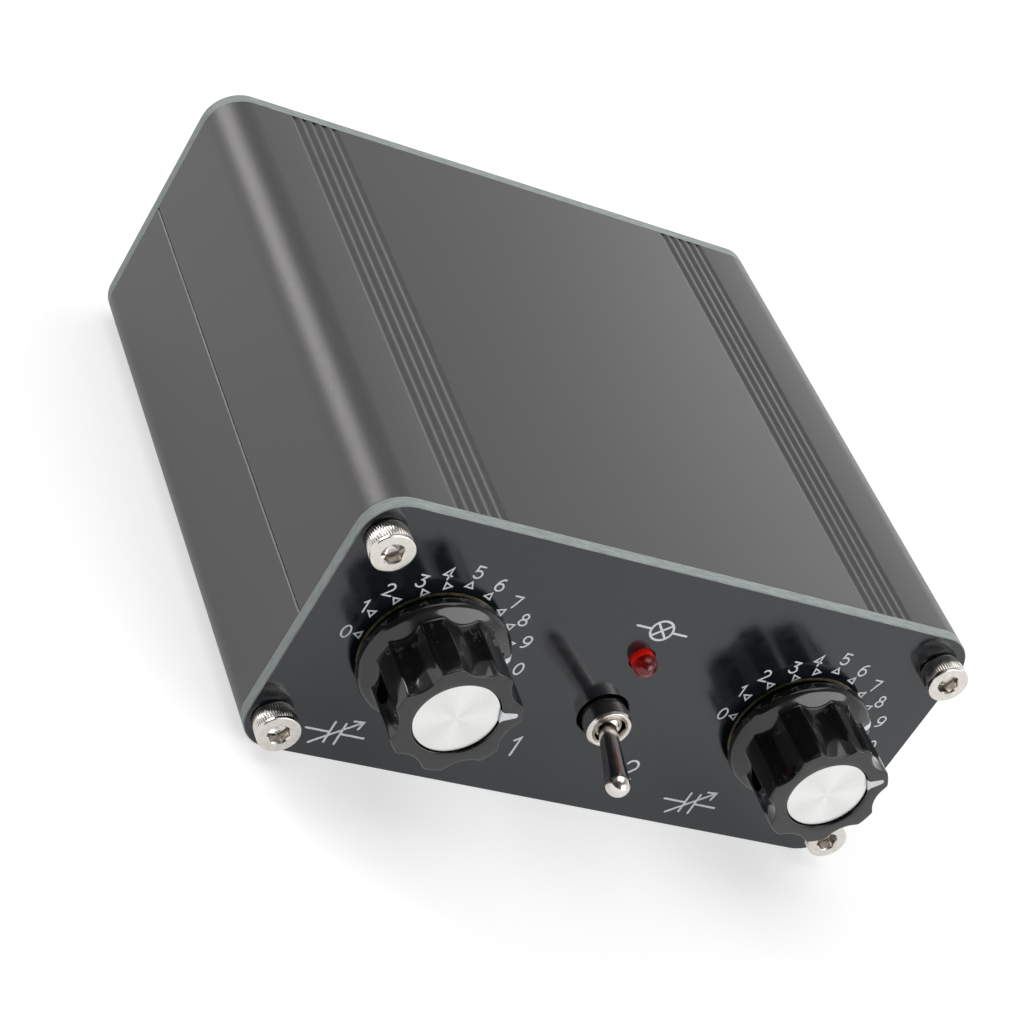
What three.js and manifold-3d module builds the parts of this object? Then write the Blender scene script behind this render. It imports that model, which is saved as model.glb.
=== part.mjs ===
// Manual antenna tuner in a split extruded case, with two pointer knobs, a toggle switch and a lamp.
// Millimetres. X points right, Y from the front panel to the rear panel, Z up.
// The origin is the centre of the flat bottom face that the tuner rests on.

import * as THREE from 'three';
import { mergeVertices } from 'three/addons/utils/BufferGeometryUtils.js';
import Module from 'manifold-3d';

const wasm = await Module();
wasm.setup();

// Clearances shared by all pieces
const seat = 0.1;
const gap = 0.3;
const overrun = 1;
const mergeDistance = 0.0001;

// How finely round things are cut into flats
const fineSides = 32;
const roundSides = 20;
const smallSides = 12;
const pinSides = 6;
const hexSides = 6;
const wireSides = 5;
const domeSteps = 5;
const arcSteps = 3;

// Case, two half shells
const caseWidth = 88;
const caseHeight = 38;
const caseLength = 80;
const wall = 1.6;
const cornerRadius = 5;
const seamChamfer = 0.2;
const lipHeight = 1.2;
const lipThickness = 0.7;
const grooveCount = 5;
const groovePitch = 1.5;
const grooveRadius = 1;
const grooveDepth = 0.2;
const grooveBandInset = 14;
const screwInset = 3.4;
const screwLift = 4.8;
const channelClearance = 0.25;
const channelWall = 0.85;
const ribDepth = 2;
const ribThickness = 1;

// Panels
const panelThickness = 1.6;
const panelScrewClearance = 0.45;
const shaftClearance = 0.7;
const switchClearance = 0.6;
const lampClearance = 0.22;

// Panel screws
const screwHeadRadius = 2.75;
const screwHeadHeight = 3;
const screwHeadChamfer = 0.3;
const screwShankRadius = 1.3;
const screwShankLength = 8;
const screwSocketRadius = 1.44;
const screwSocketDepth = 1.6;
const rearHeadHeight = 1.6;
const rearHeadChamfer = 0.7;
const rearSocketDepth = 0.9;

// Knobs
const knobInset = 17;
const knobClearance = 1.2;
const knobLength = 10.6;
const skirtRadius = 9.3;
const skirtFaceRadius = 9;
const skirtThickness = 1.4;
const skirtBevel = 0.3;
const skirtTopRadius = 7;
const skirtRise = 0.9;
const lobeRadius = 7.9;
const fluteCount = 7;
const fluteDepth = 0.9;
const fluteRadius = 3.9;
const lobeSteps = 3;
const fluteSteps = 7;
const knobEdge = 0.35;
const discRadius = 5.2;
const discThickness = 0.5;
const discInset = 0.4;
const discClearance = 0.15;
const knobBoreDepth = 7.8;
const leftPointerAngle = THREE.MathUtils.degToRad(20);
const rightPointerAngle = THREE.MathUtils.degToRad(35);

// Knob set screws
const setScrewRadius = 1.5;
const setScrewLength = 3;
const setScrewSocketRadius = 0.87;
const setScrewSocketDepth = 1.2;
const setScrewLift = 4.4;

// Variable capacitors and their shafts
const shaftRadius = 3;
const shaftEdge = 0.4;
const spindleRadius = 1.5;
const spindleEngagement = 4.6;
const capacitorWidth = 20;
const capacitorDepth = 12;
const capacitorWall = 1;
const capacitorFrontWall = 1.5;
const capacitorSetBack = 2.2;
const vaneCount = 5;
const vaneThickness = 0.5;
const vanePitch = 1.6;
const vaneClearance = 1.6;
const hubRadius = 2;
const statorHubClearance = 0.6;
const postWidth = 1;
const legWidth = 0.8;
const legReach = 1.2;

// Toggle switch
const bushingRadius = 3;
const bushingProud = 2.8;
const bushingLength = 8.8;
const ballClearance = 0.35;
const leverPlay = 0.85;
const bushingLip = 0.5;
const bushingChamfer = 0.35;
const mouthFlare = 0.45;
const flangeRadius = 3.4;
const flangeThickness = 0.8;
const switchBodyWidth = 13.2;
const switchBodyHeight = 12.2;
const switchBodyDepth = 9.6;
const switchBodyWall = 1;
const bracketThickness = 0.5;
const bracketReach = 7;
const bracketLegWidth = 1.6;
const leverTilt = THREE.MathUtils.degToRad(12.5);
const pivotDepth = 1.9;
const pivotBallRadius = 2.15;
const leverLength = 13.5;
const leverNeckRadius = 1.15;
const leverTipRadius = 1.62;
const tailRadius = 0.7;
const tailLength = 10;
const rockerLength = 9.2;
const rockerWidth = 3;
const rockerThickness = 0.6;
const rockerTilt = THREE.MathUtils.degToRad(10);
const terminalPitch = 4;
const terminalWidth = 1.2;
const terminalThickness = 0.8;
const terminalReach = 2.4;

// Lamp
const lampRise = 9.4;
const lampRadius = 1.5;
const lampProud = 2.6;
const lampLength = 5.3;
const lampFlangeRadius = 1.9;
const lampFlangeThickness = 1;
const lampLeadPitch = 2.54;
const lampLeadRadius = 0.28;
const lampLeadForward = 1.3;
const lampLeadOffset = 4.6;
const lampLeadDrop = 4;
const leadSteps = 14;

// Main circuit board
const boardThickness = 1.6;
const boardEdgeInset = 0.3;
const holeClearance = 0.3;
const pinReach = 1.2;

// Tuning coil
const coilInset = 26.1;
const coilClearance = 2.7;
const coreOuterRadius = 13.45;
const coreInnerRadius = 7.25;
const coreHeight = 11.1;
const coreEdge = 1.2;
const wireRadius = 0.5;
const wireStandOff = 0.75;
const mainTurns = 10;
const linkTurns = 3;
const stepsPerTurn = 10;
const loopSquareness = 4.5;
const mainArc = THREE.MathUtils.degToRad(246);
const linkArc = THREE.MathUtils.degToRad(52);
const arcSpace = THREE.MathUtils.degToRad(31);
const coilLegDrop = 1.6;

// Bridge transformer and resistors
const bridgeInset = 20.1;
const bridgeSetBack = 8;
const bridgeOuterRadius = 4.75;
const bridgeInnerRadius = 2.4;
const bridgeHeight = 3.2;
const bridgeEdge = 0.4;
const bridgeWireRadius = 0.25;
const bridgeStandOff = 0.5;
const bridgeTurns = 6;
const bridgeArc = THREE.MathUtils.degToRad(280);
const resistorCount = 3;
const resistorPitch = 6;
const resistorSetBack = 9;
const resistorRadius = 1.9;
const resistorLength = 9;
const resistorEdge = 0.5;
const resistorWaist = 0.25;
const resistorLeadRadius = 0.35;
const resistorLeadPitch = 13;
const resistorLift = 0.4;

// Coaxial sockets
const socketOffset = 20;
const socketRise = 10;
const socketBlockWidth = 14.6;
const socketBlockDepth = 12;
const socketBlockAbove = 7.3;
const socketPegRadius = 1;
const socketPegOffset = 5;
const socketTailRadius = 4.9;
const socketTailLength = 8;
const socketThreadRadius = 6.2;
const socketThreadLength = 5.6;
const socketNoseRadius = 4.8;
const socketReach = 15;
const socketMouthRadius = 4.05;
const socketEdge = 0.3;
const lugRadius = 1;
const lugTip = 5.55;
const lugFromMouth = 4.4;
const insulatorNoseRadius = 2.35;
const insulatorNoseLength = 7.4;
const insulatorRecess = 1.8;
const insulatorBackLength = 6;
const contactRadius = 0.95;
const contactBore = 0.6;
const contactBoreDepth = 5;
const contactRecess = 0.4;
const contactTailLength = 2.6;
const contactPinRadius = 0.5;
const contactClearance = 0.25;
const contactSlotWidth = 2.6;
const washerRadius = 8.4;
const washerThickness = 0.6;
const nutAcrossFlats = 14.3;
const nutThickness = 2.2;
const nutEdge = 0.5;

// Places that follow from the sizes above
const halfWidth = caseWidth / 2;
const halfLength = caseLength / 2;
const seamHeight = caseHeight / 2;
const panelFace = halfLength + seat + panelThickness;
const screwX = halfWidth - screwInset;
const knobSpread = halfWidth - knobInset;
const channelRadius = screwShankRadius + channelClearance;
const boardBottom = screwLift + channelRadius + channelWall + seat;
const boardTop = boardBottom + boardThickness;
const knobAxisHeight = boardTop + seat + capacitorWidth / 2;
const pinEnd = boardBottom - pinReach;
const boardHalfWidth = halfWidth - wall - boardEdgeInset;
const boardHalfLength = halfLength - seat;
const switchAxisHeight = boardTop + seat + switchBodyHeight / 2;
const lampHeight = switchAxisHeight + lampRise;
const socketAxisHeight = boardTop + seat + socketRise;
const vaneRadius = capacitorWidth / 2 - capacitorWall - vaneClearance;
const bushingBore = pivotBallRadius + ballClearance;
const bushingMouth = leverNeckRadius + leverPlay;

// Knob and shaft places along Y
const knobBack = -(panelFace + knobClearance);
const knobTop = knobBack - knobLength;
const capacitorFront = -(halfLength - capacitorSetBack);
const shaftBack = capacitorFront - gap;
const spindleFront = shaftBack - spindleEngagement;
const stackMiddle = capacitorFront + (capacitorFrontWall + capacitorDepth) / 2;
const statorReach = capacitorWidth / 2 - capacitorWall - gap;
const statorBack = stackMiddle + (vaneCount / 2) * vanePitch + vaneThickness / 2;

// Toggle switch places
const bushingFront = -(panelFace + bushingProud);
const bushingBack = bushingFront + bushingLength;
const pivotY = bushingFront + pivotDepth;
const bracketFront = bushingBack + seat;
const switchBodyFront = bracketFront + bracketThickness + seat;
const switchBodyBack = switchBodyFront + switchBodyDepth;
const terminalBack = switchBodyBack + terminalReach;
const rockerY = pivotY + tailLength + gap + rockerThickness / 2;
const bracketOffset = switchBodyWidth / 2 + seat;
const bracketLegY = switchBodyFront + bracketReach - bracketLegWidth;

// Lamp and socket places along Y
const lampTip = -(panelFace + lampProud);
const lampBack = lampTip + lampLength;
const lampLeadY = lampBack + seat + lampLeadForward;
const socketBlockBack = halfLength - seat;
const socketBlockFront = socketBlockBack - socketBlockDepth;
const socketShoulder = socketBlockBack + seat;
const socketEnd = panelFace + socketReach;
const contactPinY = socketBlockFront + contactTailLength / 2;
const capacitorBack = capacitorFront + capacitorDepth;

// Places of the coils and resistors on the board
const coilReach = coreOuterRadius + wireStandOff + 2 * wireRadius;
const coilX = -(boardHalfWidth - coilInset);
const coilY = socketBlockFront - coilClearance - coilReach;
const bridgeX = boardHalfWidth - bridgeInset;
const bridgeY = capacitorBack + bridgeSetBack;
const resistorY = bridgeY + resistorSetBack;
const pegY = socketBlockFront + socketBlockDepth / 2;

// The lower and higher of two distances, both measured to the same side of the middle
function span(side, near, far) {
  return [side * near, side * far].sort((a, b) => a - b);
}

// A closed mesh as a solid that can be joined and cut
function solid(geometry) {
  const bare = geometry.clone();
  bare.deleteAttribute('normal');
  bare.deleteAttribute('uv');
  const merged = mergeVertices(bare, mergeDistance);
  const corners = merged.index.array;
  const kept = [];
  for (let i = 0; i < corners.length; i += 3) {
    const [a, b, c] = [corners[i], corners[i + 1], corners[i + 2]];
    if (a !== b && b !== c && c !== a) kept.push(a, b, c);
  }
  return new wasm.Manifold(new wasm.Mesh({
    numProp: 3,
    vertProperties: merged.attributes.position.array,
    triVerts: new Uint32Array(kept),
  }));
}

// A solid as a drawable geometry
function geometryOf(body) {
  const mesh = body.getMesh();
  const geometry = new THREE.BufferGeometry();
  geometry.setAttribute('position', new THREE.BufferAttribute(new Float32Array(mesh.vertProperties), 3));
  geometry.setIndex(new THREE.BufferAttribute(new Uint32Array(mesh.triVerts), 1));
  geometry.computeVertexNormals();
  return geometry;
}

// A turned piece about the Y axis, from its profile as [radius, y] pairs with the solid between
// the profile and the axis, or inside the profile where it closes on itself
function turned(profile, sides = roundSides) {
  let area = 0;
  profile.forEach(([r, y], i) => {
    const [nextR, nextY] = profile[(i + 1) % profile.length];
    area += r * nextY - nextR * y;
  });
  const ordered = area > 0 ? profile : [...profile].reverse();
  const [firstR, firstY] = ordered[0];
  const points = ordered.map(([r, y]) => new THREE.Vector2(r, y));
  if (firstR > 0) points.push(new THREE.Vector2(firstR, firstY));
  return solid(new THREE.LatheGeometry(points, sides));
}

// A plain round bar along Y
function bar(radius, fromY, toY, sides = roundSides) {
  return turned([[0, fromY], [radius, fromY], [radius, toY], [0, toY]], sides);
}

// A box from its lowest to its highest corner
function block(low, high) {
  const size = high.map((value, i) => value - low[i]);
  const middle = high.map((value, i) => (value + low[i]) / 2);
  return solid(new THREE.BoxGeometry(...size).translate(...middle));
}

// An outline in X and Z, carried along Y
function alongY(outline, fromY, toY, options = {}) {
  const geometry = new THREE.ExtrudeGeometry(outline, {
    depth: toY - fromY,
    bevelEnabled: false,
    curveSegments: arcSteps,
    ...options,
  });
  return solid(geometry.rotateX(Math.PI / 2).translate(0, toY, 0));
}

// A round wire along a path of points or a curve
function wire(path, radius, steps, sides = wireSides) {
  const section = new THREE.Shape();
  for (let i = 0; i < sides; i += 1) {
    const turn = (i / sides) * 2 * Math.PI;
    const place = [radius * Math.cos(turn), radius * Math.sin(turn)];
    if (i === 0) section.moveTo(...place);
    else section.lineTo(...place);
  }
  section.closePath();
  return solid(new THREE.ExtrudeGeometry(section, {
    steps,
    bevelEnabled: false,
    extrudePath: path,
    curveSegments: 1,
  }));
}

// Moves a solid
function moved(body, x, y, z) {
  return body.translate([x, y, z]);
}

const materials = {
  shell: { color: 0x625f5f, roughness: 0.5, metalness: 0.6 },
  panel: { color: 0x3c4144, roughness: 0.15, metalness: 0 },
  nickel: { color: 0xc9c4bb, roughness: 0.2, metalness: 1 },
  knob: { color: 0x101011, roughness: 0.15, metalness: 0 },
  spunAluminium: { color: 0xe6e4e2, roughness: 0.3, metalness: 1 },
  steel: { color: 0x4a4a4c, roughness: 0.35, metalness: 1 },
  brass: { color: 0xc4a35a, roughness: 0.3, metalness: 1 },
  plate: { color: 0xb9babb, roughness: 0.35, metalness: 1 },
  clearPlastic: { color: 0xd8d8cf, roughness: 0.3, metalness: 0 },
  switchPlastic: { color: 0x23406e, roughness: 0.45, metalness: 0 },
  lamp: { color: 0xb01412, roughness: 0.1, metalness: 0 },
  board: { color: 0x1f5a35, roughness: 0.4, metalness: 0 },
  ironPowder: { color: 0xa5281f, roughness: 0.6, metalness: 0 },
  ferrite: { color: 0x35353a, roughness: 0.6, metalness: 0 },
  copper: { color: 0xb4662f, roughness: 0.3, metalness: 1 },
  resistor: { color: 0x8fa3a8, roughness: 0.7, metalness: 0 },
  blackPlastic: { color: 0x1b1b1c, roughness: 0.5, metalness: 0 },
  whitePlastic: { color: 0xefeeea, roughness: 0.5, metalness: 0 },
  gold: { color: 0xd4af53, roughness: 0.25, metalness: 1 },
};

const tuner = new THREE.Group();

// Adds one named piece to a group
function add(name, body, material, parent = tuner) {
  const mesh = new THREE.Mesh(geometryOf(body), new THREE.MeshStandardMaterial(materials[material]));
  mesh.name = name;
  parent.add(mesh);
  return mesh;
}

// Case: one half shell's outline, open at the seam, with grooves in its outer face
function halfShellOutline() {
  const seam = seamHeight - seat / 2;
  const innerX = halfWidth - wall;
  const cornerX = halfWidth - cornerRadius;
  const grooveDrop = grooveRadius - grooveDepth;
  const grooveAngle = Math.asin(grooveDrop / grooveRadius);
  const outline = new THREE.Shape();
  outline.moveTo(-halfWidth, seam - seamChamfer);
  outline.lineTo(-halfWidth, cornerRadius);
  outline.absarc(-cornerX, cornerRadius, cornerRadius, Math.PI, 1.5 * Math.PI, false);
  for (const side of [-1, 1]) {
    for (let i = 0; i < grooveCount; i += 1) {
      const x = side * (halfWidth - grooveBandInset) + (i - (grooveCount - 1) / 2) * groovePitch;
      outline.absarc(x, -grooveDrop, grooveRadius, Math.PI - grooveAngle, grooveAngle, true);
    }
  }
  outline.absarc(cornerX, cornerRadius, cornerRadius, 1.5 * Math.PI, 2 * Math.PI, false);
  outline.lineTo(halfWidth, seam - seamChamfer);
  outline.lineTo(halfWidth - seamChamfer, seam);
  outline.lineTo(innerX, seam);
  outline.absarc(cornerX, cornerRadius, cornerRadius - wall, 0, -0.5 * Math.PI, true);
  outline.absarc(-cornerX, cornerRadius, cornerRadius - wall, 1.5 * Math.PI, Math.PI, true);
  outline.lineTo(-innerX, seam);
  outline.lineTo(-halfWidth + seamChamfer, seam);
  outline.closePath();
  return outline;
}

// Case: both halves are the same extrusion, with screw channels and board slots
function halfShell() {
  let body = alongY(halfShellOutline(), -halfLength, halfLength);
  const innerX = halfWidth - wall;
  const slotBottom = boardBottom - seat;
  const slotTop = boardTop + seat;
  for (const side of [-1, 1]) {
    const channel = bar(channelRadius + channelWall, -halfLength, halfLength);
    body = body.add(moved(channel, side * screwX, 0, screwLift));
    const [lowX, highX] = span(side, innerX - ribDepth, innerX + wall / 2);
    const ribLow = [lowX, -halfLength, slotBottom - ribThickness];
    const ribHigh = [highX, halfLength, slotTop + ribThickness];
    body = body.add(block(ribLow, ribHigh));
  }
  const slotLow = [-innerX, -halfLength - overrun, slotBottom];
  const slotHigh = [innerX, halfLength + overrun, slotTop];
  body = body.subtract(block(slotLow, slotHigh));
  for (const side of [-1, 1]) {
    const hole = bar(channelRadius, -halfLength - overrun, halfLength + overrun, smallSides);
    body = body.subtract(moved(hole, side * screwX, 0, screwLift));
  }
  return body;
}

// Case: the lower half carries a lip inside the seam, and the upper half is cut back to clear it
function addCase() {
  const innerX = halfWidth - wall;
  const lipTop = seamHeight + lipHeight;
  let lower = halfShell();
  for (const side of [-1, 1]) {
    const [lowX, highX] = span(side, innerX, innerX + lipThickness);
    const root = seamHeight - lipHeight;
    lower = lower.add(block([lowX, -halfLength, root], [highX, halfLength, lipTop]));
  }
  add('lower_shell', lower, 'shell');

  let upper = halfShell().rotate([0, 180, 0]).translate([0, 0, caseHeight]);
  for (const side of [-1, 1]) {
    const [lowX, highX] = span(side, innerX - overrun, innerX + lipThickness + seat);
    const low = [lowX, -halfLength - overrun, seamHeight - overrun];
    const high = [highX, halfLength + overrun, lipTop + seat];
    upper = upper.subtract(block(low, high));
  }
  add('upper_shell', upper, 'shell');
}

// Panels: a rounded sheet with round holes given as [x, z, radius]
function panel(holes) {
  const outline = new THREE.Shape();
  const x = halfWidth - cornerRadius;
  const top = caseHeight - cornerRadius;
  outline.absarc(-x, cornerRadius, cornerRadius, Math.PI, 1.5 * Math.PI, false);
  outline.absarc(x, cornerRadius, cornerRadius, 1.5 * Math.PI, 2 * Math.PI, false);
  outline.absarc(x, top, cornerRadius, 0, 0.5 * Math.PI, false);
  outline.absarc(-x, top, cornerRadius, 0.5 * Math.PI, Math.PI, false);
  outline.closePath();
  let body = alongY(outline, 0, panelThickness);
  for (const [holeX, holeZ, radius] of holes) {
    const hole = bar(radius, -overrun, panelThickness + overrun);
    body = body.subtract(moved(hole, holeX, 0, holeZ));
  }
  return body;
}

// Where the four screws of a panel sit, as [name, x, z]
function screwPlaces() {
  const places = [];
  for (const [low, z] of [['low', screwLift], ['high', caseHeight - screwLift]]) {
    for (const [side, x] of [['left', -screwX], ['right', screwX]]) places.push([`${low}_${side}`, x, z]);
  }
  return places;
}

// Panels: the front one is pierced for the controls, the rear one for the sockets
function addPanels() {
  const screwHoles = screwPlaces().map(([, x, z]) => [x, z, screwShankRadius + panelScrewClearance]);
  const shaftHole = shaftRadius + shaftClearance;
  const front = add('front_panel', panel([
    ...screwHoles,
    [-knobSpread, knobAxisHeight, shaftHole],
    [knobSpread, knobAxisHeight, shaftHole],
    [0, switchAxisHeight, bushingRadius + switchClearance],
    [0, lampHeight, lampRadius + lampClearance],
  ]), 'panel');
  front.position.y = -panelFace;
  const socketHole = socketThreadRadius + gap;
  const rear = add('rear_panel', panel([
    ...screwHoles,
    [-socketOffset, socketAxisHeight, socketHole],
    [socketOffset, socketAxisHeight, socketHole],
  ]), 'panel');
  rear.position.y = halfLength + seat;
}

// Panel screws: socket heads outside the panels, shanks in the channels of the shells
function panelScrew(headHeight, headChamfer, socketDepth) {
  const profile = [
    [0, -headHeight],
    [screwHeadRadius - headChamfer, -headHeight],
    [screwHeadRadius, -headHeight + headChamfer],
    [screwHeadRadius, 0],
    [screwShankRadius, 0],
    [screwShankRadius, screwShankLength],
    [0, screwShankLength],
  ];
  const socketFloor = socketDepth - headHeight;
  const socket = bar(screwSocketRadius, -headHeight - overrun, socketFloor, hexSides);
  return turned(profile).subtract(socket);
}

// Panel screws: one in each corner of both panels, with low heads on the rear one
function addPanelScrews() {
  const y = panelFace + seat;
  for (const [place, x, z] of screwPlaces()) {
    const tallHead = panelScrew(screwHeadHeight, screwHeadChamfer, screwSocketDepth);
    const front = add(`front_screw_${place}`, tallHead, 'nickel');
    front.position.set(x, -y, z);
    const lowHead = panelScrew(rearHeadHeight, rearHeadChamfer, rearSocketDepth);
    const rear = add(`rear_screw_${place}`, lowHead, 'nickel');
    rear.position.set(x, y, z);
    rear.rotation.z = Math.PI;
  }
}

// The angle between two sides of a triangle, from the lengths of all three
function cornerAngle(side, otherSide, opposite) {
  return Math.acos((side ** 2 + otherSide ** 2 - opposite ** 2) / (2 * side * otherSide));
}

// Knobs: the fluted outline, with a lobe under the pointer on +X
function flutedOutline() {
  const fluteCentre = lobeRadius - fluteDepth + fluteRadius;
  const pitch = (2 * Math.PI) / fluteCount;
  const edgeAngle = cornerAngle(lobeRadius, fluteCentre, fluteRadius);
  const wrapAngle = cornerAngle(fluteCentre, fluteRadius, lobeRadius);
  const points = [];
  for (let k = 0; k < fluteCount; k += 1) {
    const lobeStart = k * pitch - pitch / 2 + edgeAngle;
    const lobeSpan = pitch - 2 * edgeAngle;
    for (let i = 0; i <= lobeSteps; i += 1) {
      const turn = lobeStart + (i / lobeSteps) * lobeSpan;
      points.push(new THREE.Vector2(lobeRadius * Math.cos(turn), lobeRadius * Math.sin(turn)));
    }
    const middle = (k + 0.5) * pitch;
    const centre = new THREE.Vector2(fluteCentre * Math.cos(middle), fluteCentre * Math.sin(middle));
    for (let i = 1; i < fluteSteps; i += 1) {
      const turn = middle + Math.PI + wrapAngle * (1 - (2 * i) / fluteSteps);
      const x = centre.x + fluteRadius * Math.cos(turn);
      const y = centre.y + fluteRadius * Math.sin(turn);
      points.push(new THREE.Vector2(x, y));
    }
  }
  return new THREE.Shape(points);
}

// Knobs: a fluted grip on a round skirt, hollowed for the shaft, the disc and the set screw
function knob() {
  const skirtFront = knobBack - skirtThickness;
  const skirt = turned([
    [0, knobBack],
    [skirtRadius, knobBack],
    [skirtRadius, skirtFront + skirtBevel],
    [skirtFaceRadius, skirtFront],
    [skirtTopRadius, skirtFront - skirtRise],
    [0, skirtFront - skirtRise],
  ], fineSides);
  const grip = alongY(flutedOutline(), knobTop + knobEdge, skirtFront + skirtThickness / 2, {
    bevelEnabled: true,
    bevelThickness: knobEdge,
    bevelSize: knobEdge,
    bevelOffset: -knobEdge,
    bevelSegments: 1,
  });
  const recessFloor = knobTop + discInset + discThickness + seat;
  const recess = bar(discRadius + discClearance, knobTop - overrun, recessFloor, fineSides);
  const bore = bar(shaftRadius + gap, knobBack - knobBoreDepth, knobBack + overrun);
  const hole = bar(setScrewRadius + gap, 0, skirtRadius, smallSides).rotate([0, 0, 90]);
  const screwHole = moved(hole, 0, knobBack - setScrewLift, 0);
  return skirt.add(grip).subtract(recess).subtract(bore).subtract(screwHole);
}

// Knob discs: spun aluminium, let into the top of each knob
function knobDisc() {
  const face = knobTop + discInset;
  return bar(discRadius, face, face + discThickness, fineSides);
}

// Set screws: in the flute opposite the pointer
function setScrew() {
  const start = shaftRadius + gap;
  const end = start + setScrewLength;
  const body = bar(setScrewRadius, start, end, smallSides);
  const socket = bar(setScrewSocketRadius, end - setScrewSocketDepth, end + overrun, hexSides);
  const turnedOut = body.subtract(socket).rotate([0, 0, 90]);
  return moved(turnedOut, 0, knobBack - setScrewLift, 0);
}

// Shaft extensions: brass bars that reach from the capacitor's spindle into the knob
function shaftExtension() {
  const front = knobBack - knobBoreDepth + gap;
  const body = turned([
    [0, front],
    [shaftRadius - shaftEdge, front],
    [shaftRadius, front + shaftEdge],
    [shaftRadius, shaftBack],
    [0, shaftBack],
  ]);
  return body.subtract(bar(spindleRadius + gap, spindleFront - gap, shaftBack + overrun, smallSides));
}

// Variable capacitor: where each of the rotor's vanes starts, half way between two stator plates
function vaneStart(i) {
  return stackMiddle + (i - (vaneCount - 1) / 2) * vanePitch - vaneThickness / 2;
}

// Variable capacitor: the rotor, half-round vanes and a hub on the spindle
function rotor() {
  const hubFront = vaneStart(0) - vaneThickness;
  const hubBack = vaneStart(vaneCount - 1) + 2 * vaneThickness;
  let body = turned([
    [0, spindleFront],
    [spindleRadius, spindleFront],
    [spindleRadius, hubFront],
    [hubRadius, hubFront],
    [hubRadius, hubBack],
    [0, hubBack],
  ], smallSides);
  const half = new THREE.Shape();
  half.absarc(0, 0, vaneRadius, 0, Math.PI, false);
  half.closePath();
  for (let i = 0; i < vaneCount; i += 1) {
    const start = vaneStart(i);
    body = body.add(alongY(half, start, start + vaneThickness, { curveSegments: 2 * arcSteps }));
  }
  return body;
}

// Variable capacitor: stator plates below the spindle on two posts, whose legs reach the board
function stator() {
  const top = -(hubRadius + statorHubClearance);
  const postTop = -statorReach + postWidth;
  const legEnd = pinEnd - knobAxisHeight;
  const plates = [];
  for (let i = 0; i <= vaneCount; i += 1) {
    const back = statorBack - i * vanePitch;
    plates.push(block([-statorReach, back - vaneThickness, -statorReach], [statorReach, back, top]));
  }
  const front = statorBack - vaneCount * vanePitch - vaneThickness;
  let body = wasm.Manifold.union(plates);
  for (const side of [-1, 1]) {
    const [postLow, postHigh] = span(side, statorReach - postWidth, statorReach);
    body = body.add(block([postLow, front, -statorReach], [postHigh, statorBack, postTop]));
    const [legLow, legHigh] = span(side, statorReach - legWidth, statorReach);
    body = body.add(block([legLow, statorBack - legWidth, legEnd], [legHigh, statorBack, postTop]));
  }
  return body;
}

// Variable capacitor: a clear plastic housing, open at the back, notched below for the legs
function capacitorHousing() {
  const half = capacitorWidth / 2;
  const inside = half - capacitorWall;
  let body = block([-half, capacitorFront, -half], [half, capacitorBack, half]);
  const cavityFront = capacitorFront + capacitorFrontWall;
  body = body.subtract(block([-inside, cavityFront, -inside], [inside, capacitorBack + overrun, inside]));
  const spindleHole = bar(spindleRadius + gap, capacitorFront - overrun, cavityFront + overrun, smallSides);
  body = body.subtract(spindleHole);
  for (const side of [-1, 1]) {
    const [lowX, highX] = span(side, statorReach - legWidth - gap, statorReach + gap);
    const notchLow = [lowX, statorBack - legWidth - gap, -half - overrun];
    const notchHigh = [highX, capacitorBack + overrun, -inside + overrun / 2];
    body = body.subtract(block(notchLow, notchHigh));
  }
  return body;
}

// Each side's knob, disc, set screw, shaft and rotor turn together; housing and stator stand still
function addTuningSide(side, x, pointerAngle) {
  const turning = new THREE.Group();
  turning.position.set(x, 0, knobAxisHeight);
  turning.rotation.y = -pointerAngle;
  tuner.add(turning);
  add(`${side}_knob`, knob(), 'knob', turning);
  add(`${side}_knob_disc`, knobDisc(), 'spunAluminium', turning);
  add(`${side}_set_screw`, setScrew(), 'steel', turning);
  add(`${side}_shaft`, shaftExtension(), 'brass', turning);
  add(`${side}_rotor`, rotor(), 'plate', turning);
  add(`${side}_stator`, stator(), 'plate').position.set(x, 0, knobAxisHeight);
  add(`${side}_capacitor_housing`, capacitorHousing(), 'clearPlastic').position.set(x, 0, knobAxisHeight);
}

// Toggle switch: threaded bushing, with a pocket for the lever's ball
function switchBushing() {
  const pocket = pivotY - pivotBallRadius + gap;
  return turned([
    [bushingMouth, pocket - seat],
    [bushingMouth, bushingFront + bushingLip],
    [bushingMouth + mouthFlare, bushingFront],
    [bushingRadius - bushingChamfer, bushingFront],
    [bushingRadius, bushingFront + bushingChamfer],
    [bushingRadius, bushingBack - flangeThickness],
    [flangeRadius, bushingBack - flangeThickness],
    [flangeRadius, bushingBack],
    [bushingBore, bushingBack],
    [bushingBore, pivotY],
  ]);
}

// Toggle switch: the bat lever, drawn upright about its pivot with the bat towards -Y
function switchLever() {
  const tipCentre = -(leverLength - leverTipRadius);
  const profile = [[0, -leverLength]];
  for (let i = 1; i <= domeSteps; i += 1) {
    const turn = (i / domeSteps) * 0.5 * Math.PI;
    profile.push([leverTipRadius * Math.sin(turn), tipCentre - leverTipRadius * Math.cos(turn)]);
  }
  profile.push([leverNeckRadius, -pivotBallRadius]);
  const ballStart = Math.asin(leverNeckRadius / pivotBallRadius);
  const ballEnd = Math.PI - Math.asin(tailRadius / pivotBallRadius);
  for (let i = 0; i <= domeSteps; i += 1) {
    const turn = ballStart + (i / domeSteps) * (ballEnd - ballStart);
    profile.push([pivotBallRadius * Math.sin(turn), -pivotBallRadius * Math.cos(turn)]);
  }
  profile.push([tailRadius, tailLength - tailRadius]);
  profile.push([0, tailLength]);
  return turned(profile);
}

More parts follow.
